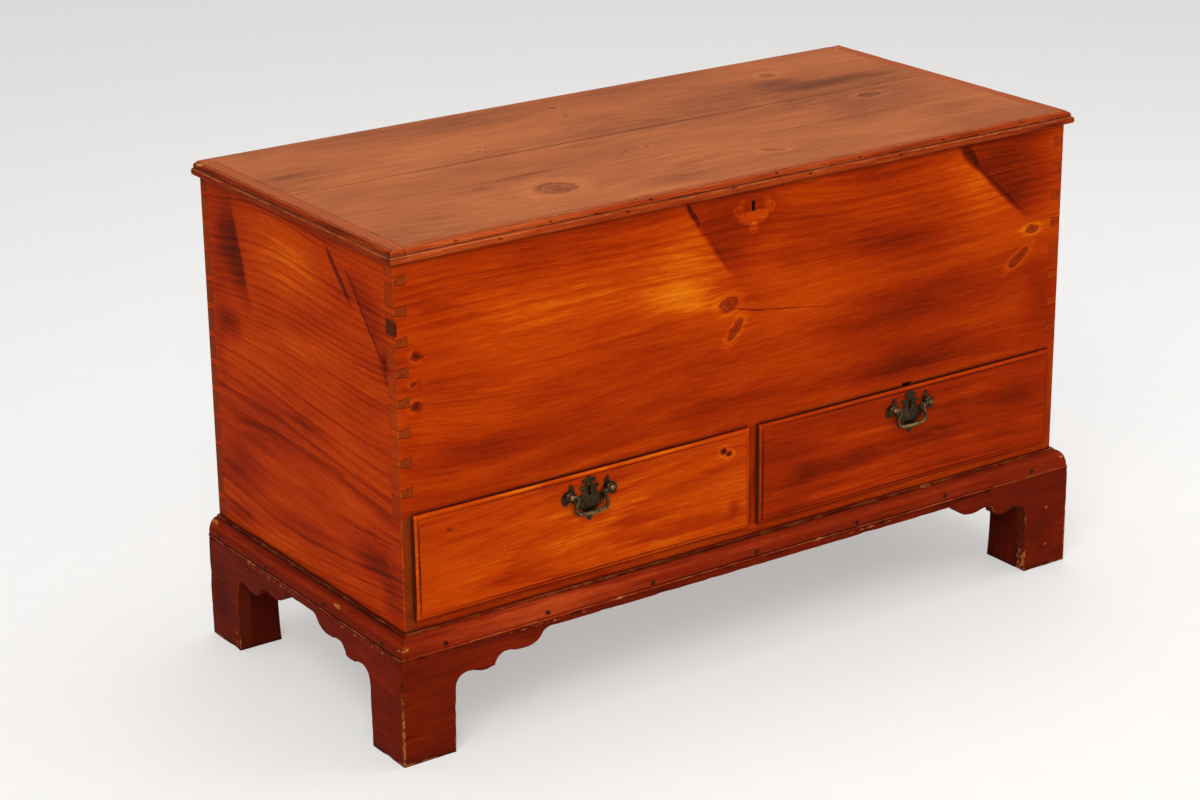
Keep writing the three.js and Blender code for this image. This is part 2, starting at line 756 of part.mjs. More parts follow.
const drawerFront = cut(drawerFrontBoard(), [
  ...frontTails(halfGap),
  ...frontTails(halfGap).map((tail) => toSolid(toGeometry(tail, true))),
  block(
    [-sideInside - grooveDepth, sideInside + grooveDepth],
    [bodyBack - grooveDepth, bodyBack + overrun], drawerGroove,
  ),
  block(grown(drawerLockX, gap), [drawerLockY[0] - gap, bodyBack + overrun],
    [drawerLockZ[0] - gap, bodyZ[1] + overrun]),
  slabXZ(plateKeyhole, [drawerFace - overrun, bodyBack]),
  ...postXs.map((x) => shankBore(x, gap)),
]);

const drawerSide = cut(union([
  block([-bodyHalf, -sideInside], [bodyBack, drawerBack], drawerSideZ),
  ...frontTails(0),
]), [
  ...backPins(halfGap),
  block([-sideInside - grooveDepth, -sideInside + overrun], [front, drawerBack + overrun], drawerGroove),
]);

const drawerBackPins = union(backPins(0));
const drawerBackBoard = union([
  block([-sideInside, sideInside], [drawerBackInner, drawerBack], [drawerBottomZ[1], drawerSideZ[1]]),
  drawerBackPins,
  toSolid(toGeometry(drawerBackPins, true)),
]);

const drawerBottom = block(
  [-sideInside - grooveDepth + gap, sideInside + grooveDepth - gap],
  [bodyBack - grooveDepth + gap, drawerBack], drawerBottomZ,
);

// Drawer lock: a shallow box let into the drawer front, open towards the wood.
const drawerBoltX = [-drawerBoltWidth / 2, drawerBoltWidth / 2];
const drawerBoltY = [boltY - drawerBoltThickness / 2, boltY + drawerBoltThickness / 2];
const drawerBoltZ = [bodyZ[1] - drawerBoltHeight, bodyZ[1]];
const guideZ = bodyZ[1] - boltGuideDrop;
const drawerLockCase = cut(union([
  cut(block(drawerLockX, drawerLockY, drawerLockZ), [
    block(
      grown(drawerLockX, -lockWall), [drawerLockY[0] - overrun, drawerLockY[1] - lockWall],
      grown(drawerLockZ, -lockWall),
    ),
  ]),
  block(grown(drawerLockX, -lockWall), [drawerLockY[0] + lockWall, drawerLockY[1] - lockWall],
    [guideZ - lockWall, guideZ]),
]), [
  block(grown(drawerBoltX, gap), grown(drawerBoltY, gap), [guideZ - 2 * lockWall, bodyZ[1] + overrun]),
]);
const drawerBolt = block(drawerBoltX, drawerBoltY, drawerBoltZ);

// Pull: a pierced plate. From the top of its crest down to the point, each row has control and end
// points, in shares of its half width and of its rise or fall from the line of the posts.
const plateY = [drawerFace - plateThickness, drawerFace];
const plateShares = [
  [[0.075, 1.014], [0.097, 0.886]], [[0.151, 0.955], [0.211, 0.827]],
  [[0.271, 0.705], [0.215, 0.618]], [[0.176, 0.573], [0.155, 0.664]],
  [[0.09, 0.682], [0.095, 0.509]], [[0.112, 0.391], [0.194, 0.418]],
  [[0.258, 0.473], [0.314, 0.409]], [[0.378, 0.3], [0.323, 0.2]],
  [[0.271, 0.155], [0.254, 0.227]], [[0.215, 0.045], [0.271, -0.042]],
  [[0.323, -0.132], [0.4, -0.132]], [[0.482, -0.118], [0.503, 0.027]],
  [[0.529, 0.182], [0.555, 0.382]], [[0.572, 0.618], [0.667, 0.768]],
  [[0.744, 0.745], [0.705, 0.591]], [[0.675, 0.427], [0.761, 0.327]],
  [[0.998, 0.227], [1, -0.085]], [[0.981, -0.296], [0.86, -0.306]],
  [[0.766, -0.296], [0.731, -0.207]], [[0.637, -0.179], [0.568, -0.273]],
  [[0.409, -0.48], [0.292, -0.574]], [[0.202, -0.649], [0.151, -0.668]],
  [[0.159, -0.8], [0.099, -0.861]], [[0.065, -0.908], [0.047, -0.979]],
  [[0.026, -1], [0, -1]],
];

function plateShape() {
  const at = ([u, v]) => [u * plateHalfWidth, postZ + v * (v > 0 ? plateRise : plateFall)];
  const path = new THREE.Path();
  path.moveTo(...at([0, 1]));
  for (const [control, end] of plateShares) path.quadraticCurveTo(...at(control), ...at(end));
  const points = path.getPoints(plateSegments).map((point) => [point.x, point.y]);
  const mirrored = points.slice(1, -1).reverse().map(([x, z]) => [-x, z]);
  return polygon([...points, ...mirrored]);
}

const plate = cut(slabXZ(plateShape(), plateY), [
  slabXZ(plateKeyhole, grown(plateY, overrun)),
  barY(plateNailHoleRadius, grown(plateY, overrun), 0, postZ - plateNailHoleDrop, 10),
  ...postXs.map((x) => shankBore(x, gap)),
]);

// A post: nut, shank through the wood, collar on the plate, neck and ball, turned about Y.
const ballY = plateY[0] - ballStandoff;
function post() {
  const profile = [[0, bodyBack + gap + nutThickness], [nutRadius, bodyBack + gap + nutThickness],
    [nutRadius, bodyBack + gap], [shankRadius, bodyBack + gap], [shankRadius, plateY[0] - halfGap],
    [collarRadius, plateY[0] - halfGap], [collarRadius, plateY[0] - collarThickness],
    [postNeckRadius, plateY[0] - collarThickness]];
  const steps = 8;
  const neckAngle = Math.asin(postNeckRadius / ballRadius);
  for (let i = 0; i <= steps; i++) {
    const angle = neckAngle + (Math.PI - neckAngle) * (i / steps);
    profile.push([ballRadius * Math.sin(angle), ballY + ballRadius * Math.cos(angle)]);
  }
  profile[profile.length - 1][0] = 0;
  const lathe = new THREE.LatheGeometry(profile.map(([r, y]) => new THREE.Vector2(r, -y)), 14);
  const turned = place(lathe, (x, y, z) => [x, -y, -z + postZ]);
  const bore = barX(bailBoreRadius, [-overrun - ballRadius, overrun + ballRadius], ballY, postZ, 12);
  return cut(toSolid(turned), [bore]);
}

// The bail's middle line, from the right post to the middle, and its thickness there: shares of
// half the post spacing and of the drop, and of the grip's radius.
const bailShares = [
  [1.06, 0], [0.93, 0], [0.79, 0.01], [0.675, 0.11], [0.68, 0.32], [0.765, 0.52],
  [0.785, 0.73], [0.655, 0.92], [0.36, 0.985], [0, 1],
];
const bailSteps = 46;
const bailSides = 8;
function bail() {
  const half = bailShares.map(([u, v]) => [u * postSpacing / 2, postZ - v * bailDrop]);
  const whole = [...half, ...half.slice(0, -1).reverse().map(([x, z]) => [-x, z])];
  const line = new THREE.CatmullRomCurve3(whole.map(([x, z]) => new THREE.Vector3(x, ballY, z)));
  const shoulder = postSpacing / 2 - ballRadius - gap;
  const rings = [];
  for (let i = 0; i <= bailSteps; i++) {
    const middle = line.getPoint(i / bailSteps);
    const tangent = line.getTangent(i / bailSteps);
    const depth = Math.min(1, (postZ - middle.z) / bailDrop);
    const grip = bailNeckRadius + (bailGripRadius - bailNeckRadius) * depth ** 2;
    const radius = Math.abs(middle.x) > shoulder ? bailPivotRadius : grip;
    rings.push(Array.from({ length: bailSides }, (_, side) => {
      const angle = (2 * Math.PI * side) / bailSides;
      const out = radius * Math.cos(angle);
      return [middle.x - tangent.z * out, ballY - radius * Math.sin(angle), middle.z + tangent.x * out];
    }));
  }
  return loft(rings);
}

const pullPost = post();
const drawerParts = {
  front: [drawerFront, finishes.drawer],
  side_left: [drawerSide, finishes.inside],
  side_right: [toSolid(toGeometry(drawerSide, true)), finishes.inside],
  back: [drawerBackBoard, finishes.inside],
  bottom: [drawerBottom, finishes.inside],
  lock_case: [drawerLockCase, finishes.iron],
  lock_bolt: [drawerBolt, finishes.iron],
  pull_plate: [plate, finishes.brass],
  pull_post_left: [shifted(pullPost, postXs[0]), finishes.brass],
  pull_post_right: [shifted(pullPost, postXs[1]), finishes.brass],
  pull_bail: [bail(), finishes.brass],
};

for (const [hand, x] of [['left', -drawerCentre], ['right', drawerCentre]]) {
  for (const [name, [solid, finish]] of Object.entries(drawerParts)) {
    add(`${hand}_drawer_${name}`, shifted(solid, x), finish);
  }
}

export default chest;
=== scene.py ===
"""Looks for a pine blanket chest with a lifting lid, two lipped drawers and a bracket base.

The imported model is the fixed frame. Each wooden board is dressed with eased edges and sawn
pine grain, and the brasses, locks and hinges get their screws, nails and tarnish.
"""

import json
import logging
import math
from abc import ABC, abstractmethod
from dataclasses import dataclass
from enum import Enum
from typing import Any, Iterable, Optional, Sequence, Union

import bmesh
import bpy
from bmesh.types import BMesh, BMVert
from bpy.types import Material, Mesh, Node, NodeSocket, NodeTree, Object
from mathutils import Matrix, Vector, noise
from mathutils.bvhtree import BVHTree


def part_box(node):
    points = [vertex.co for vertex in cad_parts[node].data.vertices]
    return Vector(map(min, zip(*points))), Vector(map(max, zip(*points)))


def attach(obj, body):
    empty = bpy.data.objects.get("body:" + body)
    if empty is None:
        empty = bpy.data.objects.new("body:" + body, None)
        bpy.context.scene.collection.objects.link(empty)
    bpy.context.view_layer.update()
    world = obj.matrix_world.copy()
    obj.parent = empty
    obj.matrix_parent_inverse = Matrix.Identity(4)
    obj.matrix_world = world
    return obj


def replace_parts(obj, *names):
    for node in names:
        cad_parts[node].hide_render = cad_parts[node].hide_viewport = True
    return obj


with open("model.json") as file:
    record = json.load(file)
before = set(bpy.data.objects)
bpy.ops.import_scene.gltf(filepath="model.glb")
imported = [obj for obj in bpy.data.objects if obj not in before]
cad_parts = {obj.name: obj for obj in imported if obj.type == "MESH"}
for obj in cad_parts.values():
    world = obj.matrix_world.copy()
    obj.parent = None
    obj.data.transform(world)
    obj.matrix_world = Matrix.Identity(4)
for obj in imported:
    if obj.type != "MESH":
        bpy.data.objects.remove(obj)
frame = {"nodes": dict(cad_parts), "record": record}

LOG = logging.getLogger("chest")
MM = 0.001
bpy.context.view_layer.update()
# Sockets of the Mix node that carry colours.
MIX_COLOURS = (6, 7)
MIX_RESULT = 2

Colour = tuple[float, float, float]
Place = tuple[float, float]
Number = Union[float, "Value"]


def put(name: str, data: bpy.types.ID) -> Object:
    """Makes an object at the origin and links it to the scene.

    Args:
        name: its name.
        data: its mesh, lamp or camera.

    Returns:
        The object.
    """
    made = bpy.data.objects.new(name, data)
    bpy.context.scene.collection.objects.link(made)
    return made


def solid_piece(name: str, shape: BMesh, material: Material, crease: float) -> Object:
    """Turns a worked shape into a piece.

    Args:
        name: the piece's name.
        shape: the shape, which is freed.
        material: its finish.
        crease: the turn from which an edge is drawn sharp, in degrees.

    Returns:
        The piece.
    """
    mesh = bpy.data.meshes.new(name)
    shape.to_mesh(mesh)
    shape.free()
    mesh.set_sharp_from_angle(angle=math.radians(crease))
    mesh.materials.append(material)
    return put(name, mesh)


@dataclass(frozen=True)
class Layer:
    """A layer of soft noise: the lengths of its blots, its shift and its finer detail."""

    stretch: tuple[float, float, float]
    shift: float = 0.0
    detail: float = 2.0
    rough: float = 0.5


class Value:
    """A shader socket that takes part in Python arithmetic by adding Math nodes."""

    def __init__(self, graph: "Graph", socket: NodeSocket) -> None:
        """Wraps an output of the material that is being built."""
        self.graph = graph
        self.socket = socket

    def math(self, operation: str, *others: Number) -> "Value":
        """Adds one Math node whose first operand is this value."""
        return self.graph.math(operation, self, *others)

    def __add__(self, other: Number) -> "Value":
        """Sum."""
        return self.math("ADD", other)

    __radd__ = __add__

    def __sub__(self, other: Number) -> "Value":
        """Difference."""
        return self.math("SUBTRACT", other)

    def __rsub__(self, other: Number) -> "Value":
        """Difference with this value taken away."""
        return self.graph.math("SUBTRACT", other, self)

    def __mul__(self, other: Number) -> "Value":
        """Product."""
        return self.math("MULTIPLY", other)

    __rmul__ = __mul__

    def __truediv__(self, other: Number) -> "Value":
        """Quotient."""
        return self.math("DIVIDE", other)

    def __rtruediv__(self, other: Number) -> "Value":
        """Quotient with this value below."""
        return self.graph.math("DIVIDE", other, self)

    def ease(self, low: float, high: float, start: float = 0.0, end: float = 1.0) -> "Value":
        """Moves smoothly from start to end as this value goes from low to high.

        Args:
            low: the value at which the result is start.
            high: the value at which the result is end.
            start: the result at or before low.
            end: the result at or past high.

        Returns:
            The eased value.
        """
        node = self.graph.make(
            "ShaderNodeMapRange",
            {"interpolation_type": "SMOOTHSTEP", "clamp": True},
            {"Value": self, "From Min": low, "From Max": high, "To Min": start, "To Max": end},
        )
        return Value(self.graph, node.outputs["Result"])


class Wiring:
    """A node tree of any kind, into which nodes are set one by one."""

    def __init__(self, tree: NodeTree) -> None:
        """Clears the tree."""
        self.tree = tree
        tree.nodes.clear()

    def make(self, kind: str, settings: dict[str, Any], sockets: dict[Any, Any]) -> Node:
        """Adds any node: its settings first, then its sockets.

        Args:
            kind: the node's type.
            settings: properties by name; "stops" holds a ramp's positions and colours.
            sockets: a value or a link for each input, by name or number.

        Returns:
            The new node.
        """
        node = self.tree.nodes.new(kind)
        for key, setting in settings.items():
            if key == "stops":
                ramp = node.color_ramp
                while len(ramp.elements) < len(setting):
                    ramp.elements.new(0.5)
                for element, (position, colour) in zip(ramp.elements, setting):
                    element.position = position
                    element.color = (*colour, 1.0)
            else:
                setattr(node, key, setting)
        for key, given in sockets.items():
            source = given.socket if isinstance(given, Value) else given
            if isinstance(source, NodeSocket):
                self.tree.links.new(source, node.inputs[key])
            else:
                node.inputs[key].default_value = source
        return node

    def bright_rays(self) -> NodeSocket:
        """Tells rays from the camera, off metal or through glass from all others.

        Returns:
            1 for such rays, and 0 for all others.
        """
        paths = self.make("ShaderNodeLightPath", {}, {}).outputs
        seen = paths["Is Camera Ray"]
        for ray in ("Is Glossy Ray", "Is Transmission Ray"):
            both = {0: seen, 1: paths[ray]}
            seen = self.make("ShaderNodeMath", {"operation": "MAXIMUM"}, both).outputs[0]
        return seen


class Graph(Wiring):
    """The node tree of one material."""

    def __init__(self, name: str) -> None:
        """Makes an empty material.

        Args:
            name: the material's name.
        """
        self.material = bpy.data.materials.new(name)
        self.material.use_nodes = True
        super().__init__(self.material.node_tree)

    def math(self, operation: str, *operands: Number) -> Value:
        """Adds one Math node with its inputs in order."""
        node = self.make("ShaderNodeMath", {"operation": operation}, dict(enumerate(operands)))
        return Value(self, node.outputs[0])

    def place(self) -> tuple[Value, Value, Value]:
        """The point being shaded.

        Returns:
            Its place along each axis of the object, in millimetres.
        """
        here = self.make("ShaderNodeTexCoord", {}, {}).outputs["Object"]
        scaled = self.make(
            "ShaderNodeVectorMath", {"operation": "SCALE"}, {0: here, "Scale": 1 / MM}
        ).outputs[0]
        split = self.make("ShaderNodeSeparateXYZ", {}, {0: scaled})
        x, y, z = (Value(self, out) for out in split.outputs)
        return x, y, z

    def attribute(self, name: str) -> Value:
        """The value that a piece's faces carry under a name."""
        node = self.make("ShaderNodeAttribute", {"attribute_name": name}, {})
        return Value(self, node.outputs["Fac"])

    def point(self, x: Number, y: Number, z: Number) -> NodeSocket:
        """Puts three values together as a point."""
        return self.make("ShaderNodeCombineXYZ", {}, {0: x, 1: y, 2: z}).outputs[0]

    def cloud(self, here: Sequence[Value], layer: Layer, seed: float = 0.0) -> Value:
        """Soft noise whose blots have a length of their own along each axis.

        Args:
            here: the point, in millimetres.
            layer: the lengths and the detail of its blots.
            seed: shifts the pattern further.

        Returns:
            Noise between 0 and 1.
        """
        shift = seed + layer.shift
        inputs = {
            "Vector": self.point(*(axis / size + shift for axis, size in zip(here, layer.stretch))),
            "Scale": 1.0,
            "Detail": layer.detail,
            "Roughness": layer.rough,
        }
        return Value(self, self.make("ShaderNodeTexNoise", {}, inputs).outputs["Fac"])

    def mapped(self, point: NodeSocket, at: Place, size: Place, turn: float) -> NodeSocket:
        """Turns a point on a face into a mark's own measure.

        Args:
            point: the point on the board's face.
            at: the mark's middle.
            size: its half axes.
            turn: its turn in degrees.

        Returns:
            The point from the mark's middle, in half axes.
        """
        settings = {
            "Vector": point,
            "Location": (*at, 0.0),
            "Rotation": (0.0, 0.0, math.radians(turn)),
            "Scale": (*size, 1.0),
        }
        return self.make("ShaderNodeMapping", {"vector_type": "TEXTURE"}, settings).outputs[0]

    def oval(self, point: NodeSocket, at: Place, size: Place, turn: float) -> Value:
        """Distance from the middle of an oval, 1 on its rim.

        Args:
            point: the point on the board's face.
            at: the oval's middle.
            size: its half axes.
            turn: its turn in degrees.

        Returns:
            The distance.
        """
        mapped = self.mapped(point, at, size, turn)
        length = self.make("ShaderNodeVectorMath", {"operation": "LENGTH"}, {0: mapped})
        return Value(self, length.outputs["Value"])

    def mix(self, share: Number, first: Any, second: Any) -> NodeSocket:
        """Mixes two colours.

        Args:
            share: how much of the second shows.
            first: a colour or a link.
            second: a colour or a link.

        Returns:
            The mixed colour.
        """
        inputs = {0: share}
        for key, given in zip(MIX_COLOURS, (first, second)):
            inputs[key] = (*given, 1.0) if isinstance(given, tuple) else given
        settings = {"data_type": "RGBA", "clamp_factor": True}
        return self.make("ShaderNodeMix", settings, inputs).outputs[MIX_RESULT]

    def bump(self, height: Value, strength: float) -> NodeSocket:
        """Turns a height in millimetres into a bumpy normal."""
        inputs = {"Strength": strength, "Distance": MM, "Height": height}
        return self.make("ShaderNodeBump", {}, inputs).outputs[0]

    def finish(self, sockets: dict[str, Any]) -> Material:
        """Ends the tree in one surface shader.

        Args:
            sockets: the shader's inputs by name.

        Returns:
            The finished material.
        """
        shader = self.make("ShaderNodeBsdfPrincipled", {}, sockets)
        self.make("ShaderNodeOutputMaterial", {}, {"Surface": shader.outputs[0]})
        return self.material


class Grain(Enum):
    """Which axes of the chest run along a board, across its face and through its thickness."""

    FRONT = (0, 2, 1)
    SIDE = (1, 2, 0)
    TOP = (0, 1, 2)
    UPRIGHT = (2, 0, 1)


GRAIN_OF_SIDE = {"front": Grain.FRONT, "left": Grain.SIDE, "right": Grain.SIDE}


@dataclass(frozen=True)
class Knot:
    """A knot in a board: its middle and half axes in millimetres, its turn and its darkness."""

    at: Place
    size: Place
    turn: float = 0.0
    dark: float = 1.0


@dataclass(frozen=True)
class Mark:
    """A patch of deeper or, where depth is negative, paler colour on a board."""

    at: Place
    size: Place
    depth: float
    turn: float = 0.0
    soft: float = 1.0


def mark_rows(*rows: Sequence[float]) -> tuple[Mark, ...]:
    """Makes marks from rows: middle, half axes, depth and, if given, turn and softness."""
    return tuple(Mark((x, y), (wide, high), *rest) for x, y, wide, high, *rest in rows)


@dataclass(frozen=True)
class Flame:
    """A field of colour that ends sharply at a line and fades away on the line's left side."""

    at: Place
    length: float
    reach: float
    depth: float
    turn: float = 0.0


@dataclass(frozen=True)
class Sawn:
    """How a board was cut from its log and what shows on it."""

    grain: Grain
    seed: float
    pith: Place = (0.0, 60.0)
    ring: float = 5.0
    wander: float = 34.0
    level: float = 0.0
    rings: float = 1.0
    ends: float = 1.0
    knots: tuple[Knot, ...] = ()
    marks: tuple[Mark, ...] = ()
    flames: tuple[Flame, ...] = ()
    stamps: tuple[Mark, ...] = ()
    rubs: tuple[Mark, ...] = ()


@dataclass(frozen=True)
class Stain:
    """A stain and its shellac: colours from deepest to palest, and how they lie."""

    colours: tuple[Colour, ...]
    worn: Colour
    level: float
    patches: float
    streaks: float
    rings: float
    rough: float
    coat: float
    wear: float
    nicks: float = 0.6
    knot: Colour = (0.045, 0.011, 0.004)
    end: Colour = (0.130, 0.030, 0.005)
    # Paler colour for upward faces: partly real bleaching, partly a painted sheen.
    bleach_and_sheen: Optional[Colour] = None


ORANGE = Stain(
    colours=(
        (0.050, 0.006, 0.002),
        (0.165, 0.011, 0.001),
        (0.335, 0.023, 0.001),
        (0.510, 0.054, 0.001),
        (0.760, 0.185, 0.004),
    ),
    worn=(0.66, 0.22, 0.03),
    level=0.6,
    patches=0.21,
    streaks=0.085,
    rings=0.10,
    rough=0.4,
    coat=0.012,
    wear=0.5,
)
# The lid's stain is paler and greyer, partly for real fading and partly as a painted sheen from the
# pale room.
FADED_AND_SHEEN = Stain(
    colours=(
        (0.080, 0.026, 0.012),
        (0.175, 0.048, 0.018),
        (0.295, 0.082, 0.027),
        (0.410, 0.122, 0.040),
        (0.520, 0.165, 0.056),
    ),
    worn=(0.50, 0.22, 0.09),
    level=0.57,
    patches=0.22,
    streaks=0.14,
    rings=0.09,
    rough=0.46,
    coat=0.014,
    wear=0.5,
)
DEEP_RED = Stain(
    colours=(
        (0.030, 0.004, 0.002),
        (0.085, 0.007, 0.002),
        (0.160, 0.011, 0.002),
        (0.260, 0.022, 0.004),
        (0.420, 0.055, 0.010),
    ),
    worn=(0.44, 0.135, 0.032),
    level=0.44,
    patches=0.15,
    streaks=0.12,
    rings=0.08,
    rough=0.38,
    coat=0.015,
    wear=0.8,
    nicks=0.8,
    end=(0.060, 0.012, 0.004),
)
EDGE_RED = Stain(
    colours=(
        (0.060, 0.010, 0.003),
        (0.160, 0.015, 0.003),
        (0.300, 0.034, 0.005),
        (0.450, 0.078, 0.014),
        (0.560, 0.140, 0.030),
    ),
    worn=(0.56, 0.28, 0.10),
    level=0.55,
    patches=0.2,
    streaks=0.14,
    rings=0.08,
    rough=0.4,
    coat=0.008,
    wear=0.75,
    nicks=0.8,
    bleach_and_sheen=(0.33, 0.078, 0.024),
)
BARE = Stain(
    colours=(
        (0.160, 0.070, 0.022),
        (0.290, 0.140, 0.048),
        (0.420, 0.225, 0.085),
        (0.520, 0.310, 0.130),
        (0.620, 0.400, 0.190),
    ),
    worn=(0.60, 0.42, 0.22),
    level=0.55,
    patches=0.12,
    streaks=0.10,
    rings=0.22,
    rough=0.68,
    coat=0.0,
    wear=0.3,
    knot=(0.10, 0.035, 0.012),
)


class PineFinish:
    """Sawn pine with its stain: growth rings, knots, patches, wear, grime in joints, painted shade
    in corners and crevices, and small nicks.

    Places are along, across and through the board, in millimetres; the face leaves out the last.
    """

    # Painted shade: ambient occlusion darkens corners, crevices and gaps within this reach, in this
    # dark colour, which the real dark joints share.
    shade_reach = 0.011
    shade_samples = 6
    grime_and_shade: Colour = (0.016, 0.006, 0.003)
    aged: tuple[Colour, ...] = (
        (0.110, 0.045, 0.016),
        (0.205, 0.090, 0.032),
        (0.310, 0.148, 0.056),
        (0.405, 0.212, 0.086),
        (0.490, 0.275, 0.120),
    )
    aged_level = 0.55
    drift = Layer((620.0, 210.0, 260.0), 3.1, 1.0)
    sway = Layer((900.0, 900.0, 900.0), 7.7, 0.0)
    ragged = Layer((160.0, 6.0, 6.0), 1.3)
    frayed = Layer((9.0, 6.0, 6.0), 0.0, 3.0)
    patches = Layer((240.0, 95.0, 95.0), 0.0, 3.0)
    streaks = Layer((190.0, 9.0, 30.0), 5.5, 3.0, 0.6)
    threads = Layer((70.0, 3.0, 9.0), 6.1, 3.0, 0.7)
    fibres = Layer((18.0, 1.3, 1.3), 9.9, 3.0, 0.7)
    slip_along = Layer((60.0, 22.0, 60.0), 2.2)
    slip_across = Layer((90.0, 16.0, 60.0), 4.4)
    hollows = Layer((170.0, 34.0, 60.0), 8.2, 1.0)
    rubbing = Layer((26.0, 8.0, 8.0), 6.6, 4.0, 0.65)
    chipping = Layer((9.0, 5.0, 5.0), 7.1, 4.0, 0.7)
    patch_share = 2.6
    streak_share = 1.9
    thread_share = 5.0
    fibre_share = 0.34
    halo_share = 0.13
    loose_slip: Place = (46.0, 24.0)
    firm_slip: Place = (9.0, 5.0)
    firm_limit = 0.5
    flow_reach = 1.9
    ring_sway = 60.0
    ring_fray = 0.8
    knot_fray = 1.1
    knot_rings = 17.0
    line_width = 5.0
    nick_spacing = 30.0
    deepest_grime_and_shade = 0.93
    barest_rub = 0.92
    specular = 0.005
    coat_rough = 0.22
    relief = 0.7

    def __init__(self, name: str, stain: Stain, sawn: Sawn, one_sided: bool = False) -> None:
        """Starts the finish of one kind of board.

        Args:
            name: the material's name.
            stain: its stain.
            sawn: how the board was cut.
            one_sided: whether one face was left bare.
        """
        self.stain = stain
        self.sawn = sawn
        self.one_sided = one_sided
        self.graph = Graph(name)
        axes = self.graph.place()
        self.here = [axes[i] for i in sawn.grain.value]
        self.face = self.graph.point(self.here[0], self.here[1], 0.0)

    def _noise(self, place: Sequence[Value], layer: Layer) -> Value:
        """One layer of noise on this board, between 0 and 1."""
        return self.graph.cloud(place, layer, self.sawn.seed)

    def _bend(self) -> Value:
        """The place across the grain, which wanders along the board and flows round its knots.

        Returns:
            The bent place across the grain.
        """
        across = self.here[1]
        drift = self._noise(self.here, self.drift)
        bent = across + (drift - 0.5) * (2 * self.sawn.wander)
        for knot in self.sawn.knots:
            wide, high = (axis * self.flow_reach for axis in knot.size)
            away = self.graph.oval(self.face, knot.at, (wide, high), knot.turn)
            pull = 1.15 / (away * away + 0.55)
            bent = bent - (across - knot.at[1]) * pull.ease(0.12, 2.2, 0.0, 1.25)
        return bent

    def _rings(self, bent: Sequence[Value]) -> Value:
        """Growth rings cut by the board's faces.

        Args:
            bent: the place, with its bends.

        Returns:
            1 on the dark late wood of a strong ring and 0 between rings.
        """
        g, sawn = self.graph, self.sawn
        sway = self._noise(bent, self.sway)
        flat = bent[1] - sawn.pith[0]
        deep = bent[2] - sawn.pith[1] + (sway - 0.5) * self.ring_sway
        radius = g.math("SQRT", flat * flat + deep * deep)
        ragged = self._noise(bent, self.ragged)
        count = radius / sawn.ring + (ragged - 0.5) * self.ring_fray
        turn = g.math("FRACT", count)
        strength = g.make(
            "ShaderNodeTexWhiteNoise",
            {"noise_dimensions": "1D"},
            {"W": g.math("FLOOR", count)},
        ).outputs["Value"]
        late = turn.ease(0.35, 0.88) * turn.ease(0.94, 1.0, 1.0, 0.0)
        return late * (Value(g, strength) * 0.8 + 0.2)

    def _knots(self) -> tuple[Value, Value]:
        """The knots themselves.

        Returns:
            How dark the knots lie, and how bright the wood round them.
        """
        g = self.graph
        ragged = self._noise(self.here, self.frayed)
        dark = g.math("ADD", 0.0, 0.0)
        bright = g.math("ADD", 0.0, 0.0)
        for knot in self.sawn.knots:
            fray = (ragged - 0.5) * self.knot_fray
            away = g.oval(self.face, knot.at, knot.size, knot.turn) + fray
            rim = away.ease(0.66, 0.92) * away.ease(0.96, 1.15, 1.0, 0.0)
            ring = g.math("SINE", away * self.knot_rings) * 0.5 + 0.5
            heart = away.ease(0.10, 0.80, 1.0, 0.34) * (ring * 0.30 + 0.62)
            core = away.ease(0.85, 1.08, 1.0, 0.0) * heart
            dark = dark.math("MAXIMUM", (rim * 0.74).math("MAXIMUM", core) * knot.dark)
            halo = away.ease(1.05, 1.35) * away.ease(1.45, 2.6, 1.0, 0.0)
            bright = bright.math("MAXIMUM", halo)
        return dark, bright

    def _marks(self, face: NodeSocket, marks: Iterable[Mark]) -> Value:
        """Adds up patches of colour.

        Args:
            face: the place on the board's face.
            marks: the patches.

        Returns:
            How much the tone drops.
        """
        total = self.graph.math("ADD", 0.0, 0.0)
        for mark in marks:
            away = self.graph.oval(face, mark.at, mark.size, mark.turn)
            total = total + away.ease(1.0 - mark.soft, 1.0, mark.depth, 0.0)
        return total

    def _flames(self, face: NodeSocket) -> Value:
        """Adds up the fields that end at a line.

        Args:
            face: the place on the board's face.

        Returns:
            How much the tone drops.
        """
        g = self.graph
        total = g.math("ADD", 0.0, 0.0)
        for flame in self.sawn.flames:
            mapped = g.mapped(face, flame.at, (flame.length, flame.reach), flame.turn)
            split = g.make("ShaderNodeSeparateXYZ", {}, {0: mapped})
            u, v = Value(g, split.outputs[0]), Value(g, split.outputs[1])
            away = g.math("SQRT", u * u + v * v)
            edge = self.line_width / flame.reach
            total = total + v.ease(-edge, edge) * away.ease(0.25, 1.0, flame.depth, 0.0)
        return total

    def _ramp(self, colours: Sequence[Colour], tone: Value) -> NodeSocket:
        """Picks a colour by its tone, 0 for the deepest and 1 for the palest."""
        stops = [(i / (len(colours) - 1), colour) for i, colour in enumerate(colours)]
        return self.graph.make("ShaderNodeValToRGB", {"stops": stops}, {0: tone}).outputs[0]

